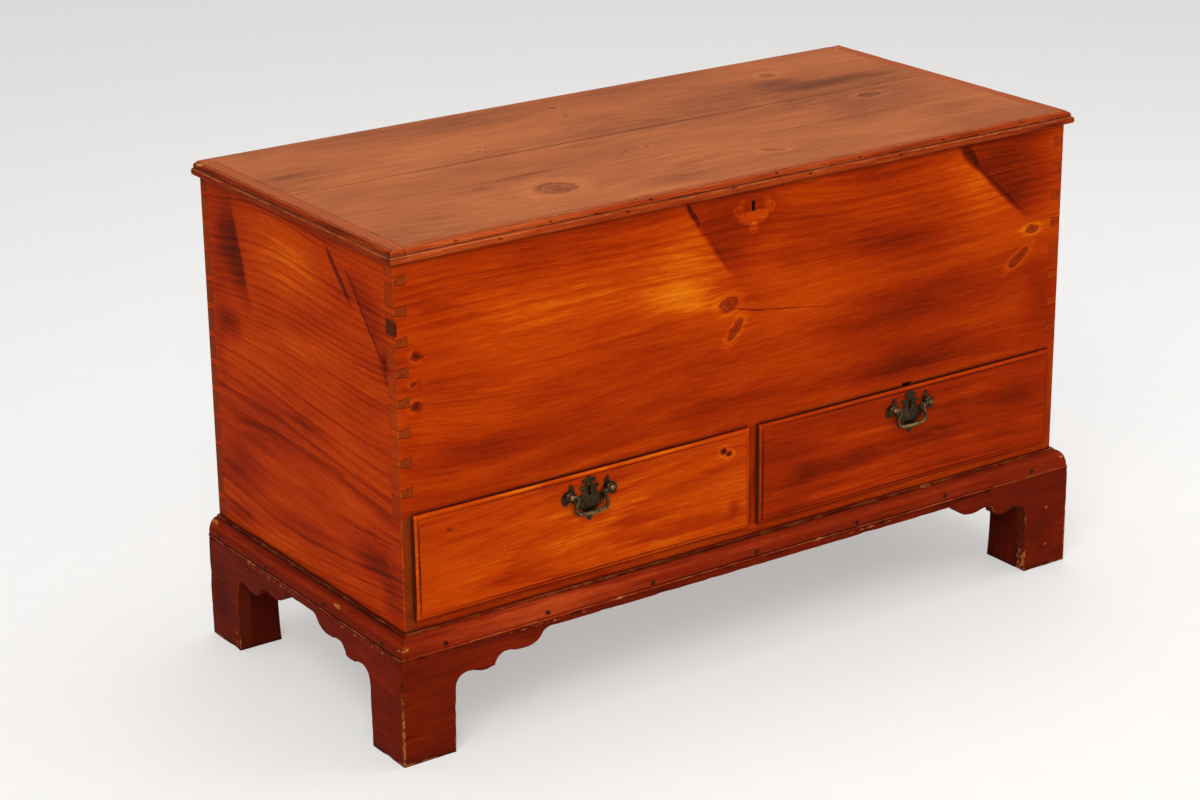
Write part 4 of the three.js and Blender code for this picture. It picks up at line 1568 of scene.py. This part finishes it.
    def nails(self) -> list[Object]:
        """Cut nails along the mouldings.

        Returns:
            The pieces.
        """
        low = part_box("base_moulding_front")[0] / MM
        rust = self.bench.finish(RUST)
        sink = self.nail_sink
        rows = {
            "front": (tuple((x, low.y + sink, z) for x, z in self.nails_front), (90.0, 0.0, 0.0)),
            "left": (tuple((low.x + sink, y, z) for y, z in self.nails_side), (0.0, 90.0, 0.0)),
            "right": (tuple((-low.x - sink, y, z) for y, z in self.nails_side), (0.0, 90.0, 0.0)),
        }
        pieces = []
        for seed, (part, (places, turn)) in enumerate(rows.items()):
            name = "moulding_nails_" + part
            row = Fixings(name, Head.CUT_NAIL, places, turn, self.nail_size, "case", "iron", seed)
            pieces.append(row.build(rust))
        return pieces


@dataclass
class Lid(Joinery):
    """The lid: two boards, the applied mouldings and the staple under it."""

    def boards(self) -> Sawn:
        """The lid's figure, shared by both boards.

        Returns:
            The figure.
        """
        return Sawn(
            grain=Grain.TOP,
            seed=79.0,
            pith=(60.0, 610.0),
            ring=5.5,
            wander=60.0,
            knots=(
                Knot((-260.0, -150.0), (29.0, 24.0), 0.0, 0.7),
                Knot((369.0, 182.0), (14.0, 10.0), 15.0, 0.6),
                Knot((419.0, -7.0), (18.0, 11.0), 0.0, 0.45),
                Knot((100.0, -172.0), (16.0, 7.0), -28.0, 0.5),
                Knot((-15.0, 218.0), (7.0, 6.0), 0.0, 0.6),
                Knot((-242.0, 74.0), (7.0, 5.0), 0.0, 0.6),
                Knot((-31.0, -46.0), (6.0, 5.0), 0.0, 0.4),
            ),
            marks=mark_rows(
                (360, 60, 440, 230, 0.14), (0, 240, 640, 70, 0.12), (-400, 0, 260, 110, -0.04),
                (-273, -70, 92, 16, 0.26), (-340, -88, 22, 14, 0.18), (420, 92, 170, 34, 0.34),
                (350, 130, 70, 46, 0.28), (520, 78, 70, 12, 0.18), (-520, 122, 60, 20, 0.2),
                (0, 60, 240, 26, 0.1), (-330, 100, 200, 60, -0.14), (-100, -210, 110, 40, 0.1),
                (-430, -110, 140, 50, -0.08), (480, -140, 110, 40, 0.14),
                (260, -30, 120, 24, -0.1), (-90, 10, 60, 10, 0.16), (60, 250, 400, 22, 0.08),
            ),
            stamps=mark_rows(
                (0, 37.2, 720, 1.3, 0.75, 0, 0.6), (-60, 39, 560, 7, 0.16),
                (310, -96, 262, 0.8, 0.55, 0.6, 0.6), (330, -95.5, 240, 3, 0.14, 0.6),
                (-75, -54, 34, 0.8, 0.42, 42, 0.5), (-232, 70, 22, 0.9, 0.5, 62, 0.5),
                (-24, 172, 20, 0.9, 0.42, 66, 0.5), (78, 162, 8, 0.8, 0.4, 50, 0.5),
                (324, -112, 7, 0.9, 0.4, 50, 0.5),
            ),
        )

    def timbers(self) -> list[Timber]:
        """Every board of the lid with its figure.

        Returns:
            The boards.
        """
        boards = ("lid_board_front", "lid_board_rear")
        timbers = [Timber(boards, FADED_AND_SHEEN, self.boards(), unstained=(0.0, 0.0, -1.0))]
        for i, (part, grain) in enumerate(GRAIN_OF_SIDE.items()):
            sawn = Sawn(
                grain=grain,
                seed=83.0 + 2 * i,
                pith=(640.0, 40.0),
                ring=3.6,
                wander=10.0,
                level=-0.02 if part == "front" else -0.20,
                stamps=self.edge_marks(part),
                rubs=self.edge_rubs(part),
            )
            wood = Timber((f"lid_moulding_{part}",), EDGE_RED, sawn, easing=0.35, chips=0.6)
            timbers.append(wood)
        return timbers

    def edge_marks(self, part: str) -> tuple[Mark, ...]:
        """Dark knocks, a let-in patch and dark streaks along one lid moulding.

        Args:
            part: which board it is: front, left or right.

        Returns:
            The marks.
        """
        if part == "front":
            knocks = (
                (62.0 * i - 540.0 + 19.0 * math.sin(5.1 * i), 722.0 + 5.0 * math.sin(2.3 * i))
                for i in range(18)
            )
            return (
                *(Mark(place, (4.5, 1.7), 0.5, 0.0, 0.6) for place in knocks),
                *mark_rows(
                    (-586, 720, 12, 6, 0.14, 0, 0.12), (-574, 722, 1, 9, 0.6, 0, 0.5),
                    (-603, 716, 9, 9, 0.5), (-120, 722, 60, 3, 0.22), (260, 724, 110, 3, 0.18),
                    (560, 714, 40, 4, 0.3),
                ),
            )
        return mark_rows(
            (-268, 722, 26, 9, 0.45), (-140, 726, 60, 4, 0.22), (40, 720, 120, 3, 0.26),
            (220, 724, 50, 5, 0.24),
        )

    def edge_rubs(self, part: str) -> tuple[Mark, ...]:
        """Where one lid moulding is chipped to bare wood."""
        spots = ((604.0, 728.0),) if part == "front" else ((262.0, 728.0),)
        return tuple(Mark(spot, (16.0, 3.5), 0.62, 0.0, 0.6) for spot in spots)

    def dress(self) -> list[Object]:
        """Dresses the lid and its staple."""
        pieces = super().dress()
        return pieces + [self.bench.ease("lid_staple", self.bench.finish(IRON), easing=0.4)]


@dataclass
class Drawer(Joinery):
    """One lipped drawer with its lock."""

    hand: str

    def edge_shade_and_highlight(self) -> tuple[Mark, ...]:
        """Painted shade in the step and painted shadow round the rim of the thumbnail edge, darkest
        at the left and bottom, and a painted highlight along its worn top and its left rim.

        Returns:
            The marks.
        """
        middle = -291.0 if self.hand == "left" else 291.0
        # Dark rows are painted shade and shadow at the lip's step and rim; the two pale rows are
        # painted highlights.
        return mark_rows(
            (middle, 208.9, 330, 1.3, 0.8, 0, 0.6), (middle, 349.3, 330, 0.9, 0.4, 0, 0.6),
            (middle - 276.2, 279, 1.3, 90, 0.8, 0, 0.6),
            (middle + 276.2, 279, 0.9, 90, 0.4, 0, 0.6), (middle, 201.8, 420, 2.2, 1, 0, 0.5),
            (middle - 283.2, 279, 2.2, 110, 1, 0, 0.5),
            (middle + 283.2, 279, 1.4, 110, 0.8, 0, 0.5),
            (middle, 356.6, 420, 1.6, 0.8, 0, 0.5), (middle, 353.4, 380, 2, -0.22, 0, 0.6),
            (middle - 280.0, 300, 2.2, 110, -0.1, 0, 0.6),
        )

    def figure(self) -> Sawn:
        """The figure of the drawer's front.

        Returns:
            The figure.
        """
        if self.hand == "left":
            return Sawn(
                grain=Grain.FRONT,
                seed=101.0,
                pith=(256.0, 60.0),
                ring=4.2,
                wander=26.0,
                level=0.11,
                rings=1.4,
                stamps=(
                    *self.edge_shade_and_highlight(),
                    *mark_rows(
                        (-56.5, 331.5, 5.6, 4.8, 0.7, 0, 0.5),
                        (-47.5, 326, 5, 4.4, 0.6, 0, 0.5),
                    ),
                ),
                knots=(
                    Knot((-56.5, 331.5), (6.0, 5.0), 0.0, 1.0),
                    Knot((-47.5, 326.0), (5.5, 4.5), 0.0, 1.0),
                ),
                marks=mark_rows(
                    (-330, 300, 180, 26, -0.1), (-430, 230, 90, 18, 0.14),
                    (-150, 232, 120, 16, 0.15), (-285, 240, 75, 28, 0.11),
                    (-220, 262, 100, 12, 0.1), (-40, 240, 16, 26, 0.22),
                    (-521, 325, 9, 6, 0.24), (-250, 340, 150, 12, 0.08),
                    (-350, 256, 110, 18, -0.05),
                ),
            )
        return Sawn(
            grain=Grain.FRONT,
            seed=103.0,
            pith=(300.0, 66.0),
            ring=4.6,
            wander=24.0,
            level=-0.12,
            rings=1.2,
            stamps=self.edge_shade_and_highlight(),
            marks=mark_rows(
                (180, 266, 150, 22, 0.24), (90, 262, 60, 26, 0.16), (330, 275, 120, 12, 0.18),
                (440, 300, 110, 22, 0.12), (250, 300, 170, 12, -0.16),
                (120, 330, 110, 18, -0.06), (200, 222, 180, 14, -0.1),
                (360, 322, 170, 12, -0.14), (480, 240, 90, 30, 0.1), (510, 300, 100, 60, 0.14),
            ),
        )

    def timbers(self) -> list[Timber]:
        """Every board of the drawer with its figure.

        Returns:
            The boards.
        """
        name = f"{self.hand}_drawer"
        sides = (f"{name}_side_left", f"{name}_side_right")
        return [
            Timber((f"{name}_front",), ORANGE, self.figure(), 0.6, unstained=(0.0, 1.0, 0.0)),
            Timber(sides, BARE, Sawn(Grain.SIDE, 107.0, pith=(260.0, 200.0), ring=4.0)),
            Timber((f"{name}_back",), BARE, Sawn(Grain.FRONT, 109.0, (270.0, 400.0), ring=4.0)),
            Timber((f"{name}_bottom",), BARE, Sawn(Grain.TOP, 113.0, (30.0, 500.0), ring=5.0)),
        ]

    def dress(self) -> list[Object]:
        """Dresses the drawer's boards and lock.

        Returns:
            The pieces.
        """
        bench, name = self.bench, f"{self.hand}_drawer"
        pieces = super().dress()
        iron = bench.finish(IRON)
        for part in ("lock_case", "lock_bolt"):
            pieces.append(bench.ease(f"{name}_{part}", iron, easing=0.3))
        screws = Fixings.in_corners(
            f"{name}_lock_screws", f"{name}_lock_case", (5.0, 5.0, 6.0), 5.0, name, 11
        )
        return pieces + [screws.build(iron)]


@dataclass
class Pull:
    """A pull: the pierced plate, two ball-headed posts and the bail that hangs between them.

    A post is turned by radius and distance: the nut's from its end, the stem's off the plate.
    The bail's course is in shares of half its width and of its drop, from one pin to its middle.
    """

    bench: Bench
    hand: str
    nut_turning: tuple[Place, ...] = ((0.0, 0.0), (4.4, 0.0), (4.8, 0.5), (4.8, 4.0), (2.5, 4.0))
    stem_turning: tuple[Place, ...] = (
        (2.5, 0.15), (4.6, 0.15), (5.0, 0.6), (4.5, 1.3), (3.6, 1.7), (3.0, 2.4),
    )
    course: tuple[Place, ...] = (
        (1.06, 0.0), (0.93, 0.0), (0.79, 0.01), (0.675, 0.11), (0.68, 0.32), (0.765, 0.52),
        (0.785, 0.73), (0.655, 0.92), (0.36, 0.985), (0.0, 1.0),
    )
    ball: float = 4.6
    neck: float = 3.0
    sides: int = 32
    ball_steps: int = 12
    ball_shine: float = 0.75
    stem_shine: float = 0.2
    wire: float = 2.1
    pin: float = 1.5
    bar_steps: int = 10
    bar_sides: int = 20
    polish: float = 12.0
    least_polish: float = 0.25
    crease_turn: float = 50.0

    def dress(self) -> list[Object]:
        """Dresses the plate and makes smooth posts and bail.

        Returns:
            The pieces.
        """
        bench = self.bench
        brass = bench.finish(BRASS)
        name = f"{self.hand}_drawer_pull"
        pieces = [bench.ease(f"{name}_plate", brass, easing=0.35)]
        for side in ("left", "right"):
            pieces.append(self.post(f"{name}_post_{side}", brass))
        pieces.append(self.bail(f"{name}_bail", brass))
        return pieces

    def post(self, node: str, brass: Material) -> Object:
        """Turns one post on the line of its node.

        Args:
            node: the post's node.
            brass: its finish.

        Returns:
            The piece.
        """
        low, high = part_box(node)
        x, z = (low.x + high.x) / 2 / MM, (low.z + high.z) / 2 / MM
        tip, tail = low.y / MM, high.y / MM
        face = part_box(f"{self.hand}_drawer_pull_plate")[0].y / MM
        middle = tip + self.ball
        profile = [(radius, tail - away) for radius, away in self.nut_turning]
        profile += [(radius, face - away) for radius, away in self.stem_turning]
        start = math.asin(self.neck / self.ball)
        for i in range(self.ball_steps + 1):
            angle = start + (math.pi - start) * i / self.ball_steps
            profile.append((self.ball * math.sin(angle), middle + self.ball * math.cos(angle)))
        profile[-1] = (0.0, tip)
        shape = bmesh.new()
        rings = []
        for radius, y in profile:
            ring = []
            for i in range(self.sides if radius else 1):
                angle = 2 * math.pi * i / self.sides
                out = Vector((math.cos(angle), 0.0, math.sin(angle))) * radius
                ring.append(shape.verts.new((Vector((x, y, z)) + out) * MM))
            rings.append(ring)
        for first, second in zip(rings, rings[1:]):
            for i in range(self.sides):
                j = (i + 1) % self.sides
                corners = [first[i % len(first)], first[j % len(first)]]
                corners += [second[j % len(second)], second[i % len(second)]]
                shape.faces.new(list(dict.fromkeys(corners)))
        bmesh.ops.recalc_face_normals(shape, faces=shape.faces)
        wear = shape.faces.layers.float.new("wear")
        for patch in shape.faces:
            patch.smooth = True
            on_ball = patch.calc_center_median().y / MM < middle
            patch[wear] = self.ball_shine if on_ball else self.stem_shine
        piece = solid_piece("dressed_" + node, shape, brass, self.crease_turn)
        return self.bench.seat(piece, node)

    def bail(self, node: str, brass: Material) -> Object:
        """Sweeps the bail along its line with Geometry Nodes.

        Args:
            node: the bail's node.
            brass: its finish.

        Returns:
            The piece.
        """
        low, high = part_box(node)
        x, y = (low.x + high.x) / 2, (low.y + high.y) / 2
        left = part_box(f"{self.hand}_drawer_pull_post_left")
        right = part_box(f"{self.hand}_drawer_pull_post_right")
        z = (left[0].z + left[1].z) / 2
        half = (right[0].x + right[1].x - left[0].x - left[1].x) / 4
        grip = (high.y - low.y) / 2
        drop = z - low.z - grip
        right_half = [Vector((u * half, 0.0, -v * drop)) for u, v in self.course]
        whole = right_half + [Vector((-p.x, 0.0, p.z)) for p in reversed(right_half[:-1])]
        line = smooth_line(whole, self.bar_steps)
        mesh = bpy.data.meshes.new(node + "_line")
        mesh.from_pydata(
            [(p.x + x, y, p.z + z) for p in line], [(i, i + 1) for i in range(len(line) - 1)], []
        )
        thick = mesh.attributes.new("thick", "FLOAT", "POINT")
        shoulder = half - self.ball * MM
        radii = []
        for p in line:
            depth = min(1.0, -p.z / drop)
            radius = self.wire * MM + (grip - self.wire * MM) * depth**2
            radii.append(self.pin * MM if abs(p.x) > shoulder else radius)
        thick.data.foreach_set("value", radii)
        body, slot = self.bench.body_of[node], self.bench.slot_of[node]
        sides = {"Sides": self.bar_sides}
        piece = self._sweep(brass).grow(mesh, sides, "dressed_" + node, body, slot)
        wear = piece.data.attributes.new("wear", "FLOAT", "FACE")
        faces = piece.data.polygons
        heights = [(face.center.z - low.z) / (self.polish * MM) for face in faces]
        wear.data.foreach_set("value", [max(self.least_polish, 1.0 - h) for h in heights])
        piece.data.polygons.foreach_set("use_smooth", [True] * len(piece.data.polygons))
        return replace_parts(piece, node)

    @staticmethod
    def _sweep(brass: Material) -> Growth:
        """Builds the tree that sweeps a round bar of varying thickness.

        Args:
            brass: the bar's finish.

        Returns:
            The tree.
        """
        growth = Growth("bail_sweep", {"Line": "NodeSocketGeometry", "Sides": "NodeSocketInt"})
        make, given = growth.make, growth.given
        thick = make(
            "GeometryNodeInputNamedAttribute", {"data_type": "FLOAT"}, {"Name": "thick"}
        ).outputs[0]
        curve = make("GeometryNodeMeshToCurve", {}, {"Mesh": given["Line"]}).outputs[0]
        ring = make(
            "GeometryNodeCurvePrimitiveCircle", {}, {"Resolution": given["Sides"], "Radius": 1.0}
        ).outputs[0]
        curve = make("GeometryNodeSetCurveRadius", {}, {"Curve": curve, "Radius": thick}).outputs[0]
        parts = {"Curve": curve, "Profile Curve": ring, "Fill Caps": True}
        swept = make("GeometryNodeCurveToMesh", {}, parts)
        if "Scale" in swept.inputs:
            growth.tree.links.new(thick, swept.inputs["Scale"])
        return growth.ended(swept.outputs[0], brass)


def smooth_line(points: Sequence[Vector], steps: int) -> list[Vector]:
    """A Catmull-Rom line through points.

    Args:
        points: the points that it passes.
        steps: how many stretches lie between two points.

    Returns:
        Points along the line.
    """
    line = []
    for i in range(len(points) - 1):
        before, start = points[max(i - 1, 0)], points[i]
        end, after = points[i + 1], points[min(i + 2, len(points) - 1)]
        for k in range(steps):
            t = k / steps
            line.append(
                0.5
                * (
                    2 * start
                    + (end - before) * t
                    + (2 * before - 5 * start + 4 * end - after) * t**2
                    + (3 * start - before - 3 * end + after) * t**3
                )
            )
    return line + [points[-1]]


@dataclass
class Ironwork:
    """The butt hinges and the chest lock with their screws."""

    bench: Bench
    leaf_margin: float = 8.0
    leaf_screws_at: tuple[float, ...] = (-26.0, 0.0, 26.0)
    leaf_screw: float = 6.0
    leaf_sink: float = 0.65
    leaf_bow: float = 12.0

    def dress(self) -> list[Object]:
        """Dresses the iron pieces and drives their screws.

        Returns:
            The pieces.
        """
        bench = self.bench
        iron = bench.finish(IRON)
        pieces = []
        for hand in ("left", "right"):
            for part in ("case_leaf", "lid_leaf", "pin"):
                pieces.append(bench.ease(f"hinge_{hand}_{part}", iron, easing=0.25))
            pieces += [self.leaf_screws(hand, iron, below) for below in (True, False)]
        for node in ("chest_lock_case", "chest_lock_bolt"):
            pieces.append(bench.ease(node, iron, easing=0.35))
        screws = Fixings.in_corners(
            "chest_lock_screws", "chest_lock_case", (8.0, 7.0, 7.0), 6.5, "case", 13
        )
        return pieces + [screws.build(iron)]

    def leaf_screws(self, hand: str, iron: Material, below: bool) -> Object:
        """Three screws in one leaf of a hinge.

        Args:
            hand: the hinge's hand.
            iron: their finish.
            below: whether it is the leaf on the case.

        Returns:
            The piece.
        """
        node = f"hinge_{hand}_{'case' if below else 'lid'}_leaf"
        low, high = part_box(node)
        x = (low.x + high.x) / 2 / MM
        y = low.y / MM + self.leaf_margin
        sink = -self.leaf_sink if below else self.leaf_sink
        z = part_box("lid_board_rear")[0].z / MM + sink
        return Fixings(
            name=node + "_screws",
            head=Head.SCREW,
            places=tuple((x + d, y + abs(d) / self.leaf_bow, z) for d in self.leaf_screws_at),
            turn=(0.0, 0.0, 0.0) if below else (180.0, 0.0, 0.0),
            size=self.leaf_screw,
            body=self.bench.body_of[node],
            slot="iron",
            seed=17,
        ).build(iron)


@dataclass
class Studio:
    """The pale floor, the soft lamps and the white beyond."""

    lamps = {
        "key_softbox": ((-2.6, -2.6, 3.2), 2.2, 120.0),
        "overhead_softbox": ((0.6, 0.4, 3.6), 2.6, 62.0),
        "fill_softbox": ((3.2, -1.6, 1.8), 2.4, 26.0),
    }
    span: float = 60.0
    paint: tuple[Colour, Colour] = ((0.80, 0.795, 0.785), (0.84, 0.835, 0.825))
    specks: Layer = Layer((40.0, 40.0, 40.0), 0.3, 3.0)
    floor_rough: float = 0.62
    paper: Colour = (1.0, 0.995, 0.985)
    daytime: Colour = (1.0, 0.975, 0.94)
    white: Colour = (1.0, 1.0, 1.0)
    white_share: float = 0.4
    daylight: float = 0.42
    aim: tuple[float, float, float] = (0.0, 0.0, 0.35)

    def floor(self) -> Object:
        """Lays a plain pale floor.

        Returns:
            The floor.
        """
        half = self.span / 2
        mesh = bpy.data.meshes.new("pale_floor")
        mesh.from_pydata(
            [(-half, -half, 0.0), (half, -half, 0.0), (half, half, 0.0), (-half, half, 0.0)],
            [],
            [(0, 1, 2, 3)],
        )
        g = Graph("pale_floor")
        speck = g.cloud(g.place(), self.specks)
        colour = g.mix(speck, *self.paint)
        matt = {"Base Color": colour, "Roughness": self.floor_rough}
        surface = g.make("ShaderNodeBsdfPrincipled", {}, matt)
        glow = {"Color": (*self.paper, 1.0), "Strength": 1.0}
        white = g.make("ShaderNodeEmission", {}, glow)
        share = Value(g, g.bright_rays()) * self.white_share
        mixed = g.make(
            "ShaderNodeMixShader", {}, {0: share, 1: surface.outputs[0], 2: white.outputs[0]}
        )
        g.make("ShaderNodeOutputMaterial", {}, {"Surface": mixed.outputs[0]})
        mesh.materials.append(g.material)
        floor = put("pale_floor", mesh)
        return floor

    def lamp(self, name: str, place: Sequence[float], size: float, power: float) -> Object:
        """Hangs a square soft lamp that points at the chest.

        Args:
            name: its name.
            place: where it hangs, in metres.
            size: the length of its sides.
            power: its power in watts.

        Returns:
            The lamp.
        """
        data = bpy.data.lights.new(name, "AREA")
        data.shape = "SQUARE"
        data.size = size
        data.energy = power
        lamp = put(name, data)
        lamp.location = place
        beam = Vector(self.aim) - Vector(place)
        lamp.rotation_euler = beam.to_track_quat("-Z", "Y").to_euler()
        return lamp

    def surroundings(self) -> None:
        """Makes the world an even pale light that the camera and the metal see as white."""
        world = bpy.data.worlds.new("pale_room")
        bpy.context.scene.world = world
        world.use_nodes = True
        sky = Wiring(world.node_tree)
        even, white = (
            sky.make("ShaderNodeBackground", {}, {"Color": (*colour, 1.0), "Strength": strength})
            for colour, strength in ((self.daytime, self.daylight), (self.white, 1.0))
        )
        both = {0: sky.bright_rays(), 1: even.outputs[0], 2: white.outputs[0]}
        mixed = sky.make("ShaderNodeMixShader", {}, both)
        sky.make("ShaderNodeOutputWorld", {}, {"Surface": mixed.outputs[0]})

    def light(self) -> None:
        """Sets up the floor, the lamps and the world."""
        self.floor()
        for name, (place, size, power) in self.lamps.items():
            self.lamp(name, place, size, power)
        self.surroundings()


@dataclass(frozen=True)
class PhotoCamera:
    """The photographer's standpoint."""

    place: tuple[float, float, float] = (-2.4232, -3.3706, 1.8365)
    heading: float = 0.60636
    tilt: float = -0.35034
    roll: float = -0.01082
    lens: float = 87.81
    film: float = 36.0
    reach: float = 200.0

    def set_up(self) -> Object:
        """Makes the camera and hands it to the scene.

        Returns:
            The camera.
        """
        forward = Vector(
            (
                math.sin(self.heading) * math.cos(self.tilt),
                math.cos(self.heading) * math.cos(self.tilt),
                math.sin(self.tilt),
            )
        )
        level = forward.cross(Vector((0.0, 0.0, 1.0))).normalized()
        upright = level.cross(forward)
        right = math.cos(self.roll) * level + math.sin(self.roll) * upright
        up = -math.sin(self.roll) * level + math.cos(self.roll) * upright
        data = bpy.data.cameras.new("photo_camera")
        data.lens = self.lens
        data.sensor_width = self.film
        data.clip_end = self.reach
        camera = put("photo_camera", data)
        turned = Matrix((right, up, -forward)).transposed().to_4x4()
        camera.matrix_world = Matrix.Translation(Vector(self.place)) @ turned
        bpy.context.scene.camera = camera
        return camera


def main() -> None:
    """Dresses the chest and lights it."""
    logging.basicConfig(level=logging.INFO, format="%(message)s")
    scene = bpy.context.scene
    scene.view_settings.view_transform = "Standard"
    PhotoCamera().set_up()
    Studio().light()
    bench = Bench()
    assemblies = [Case(bench), BracketBase(bench), Lid(bench), Ironwork(bench)]
    for hand in ("left", "right"):
        assemblies += [Drawer(bench, hand), Pull(bench, hand)]
    for assembly in assemblies:
        for piece in assembly.dress():
            count = len(piece.data.polygons)
            LOG.info("%s: %s, %d faces", type(assembly).__name__, piece.name, count)


if __name__ == "__main__":
    main()
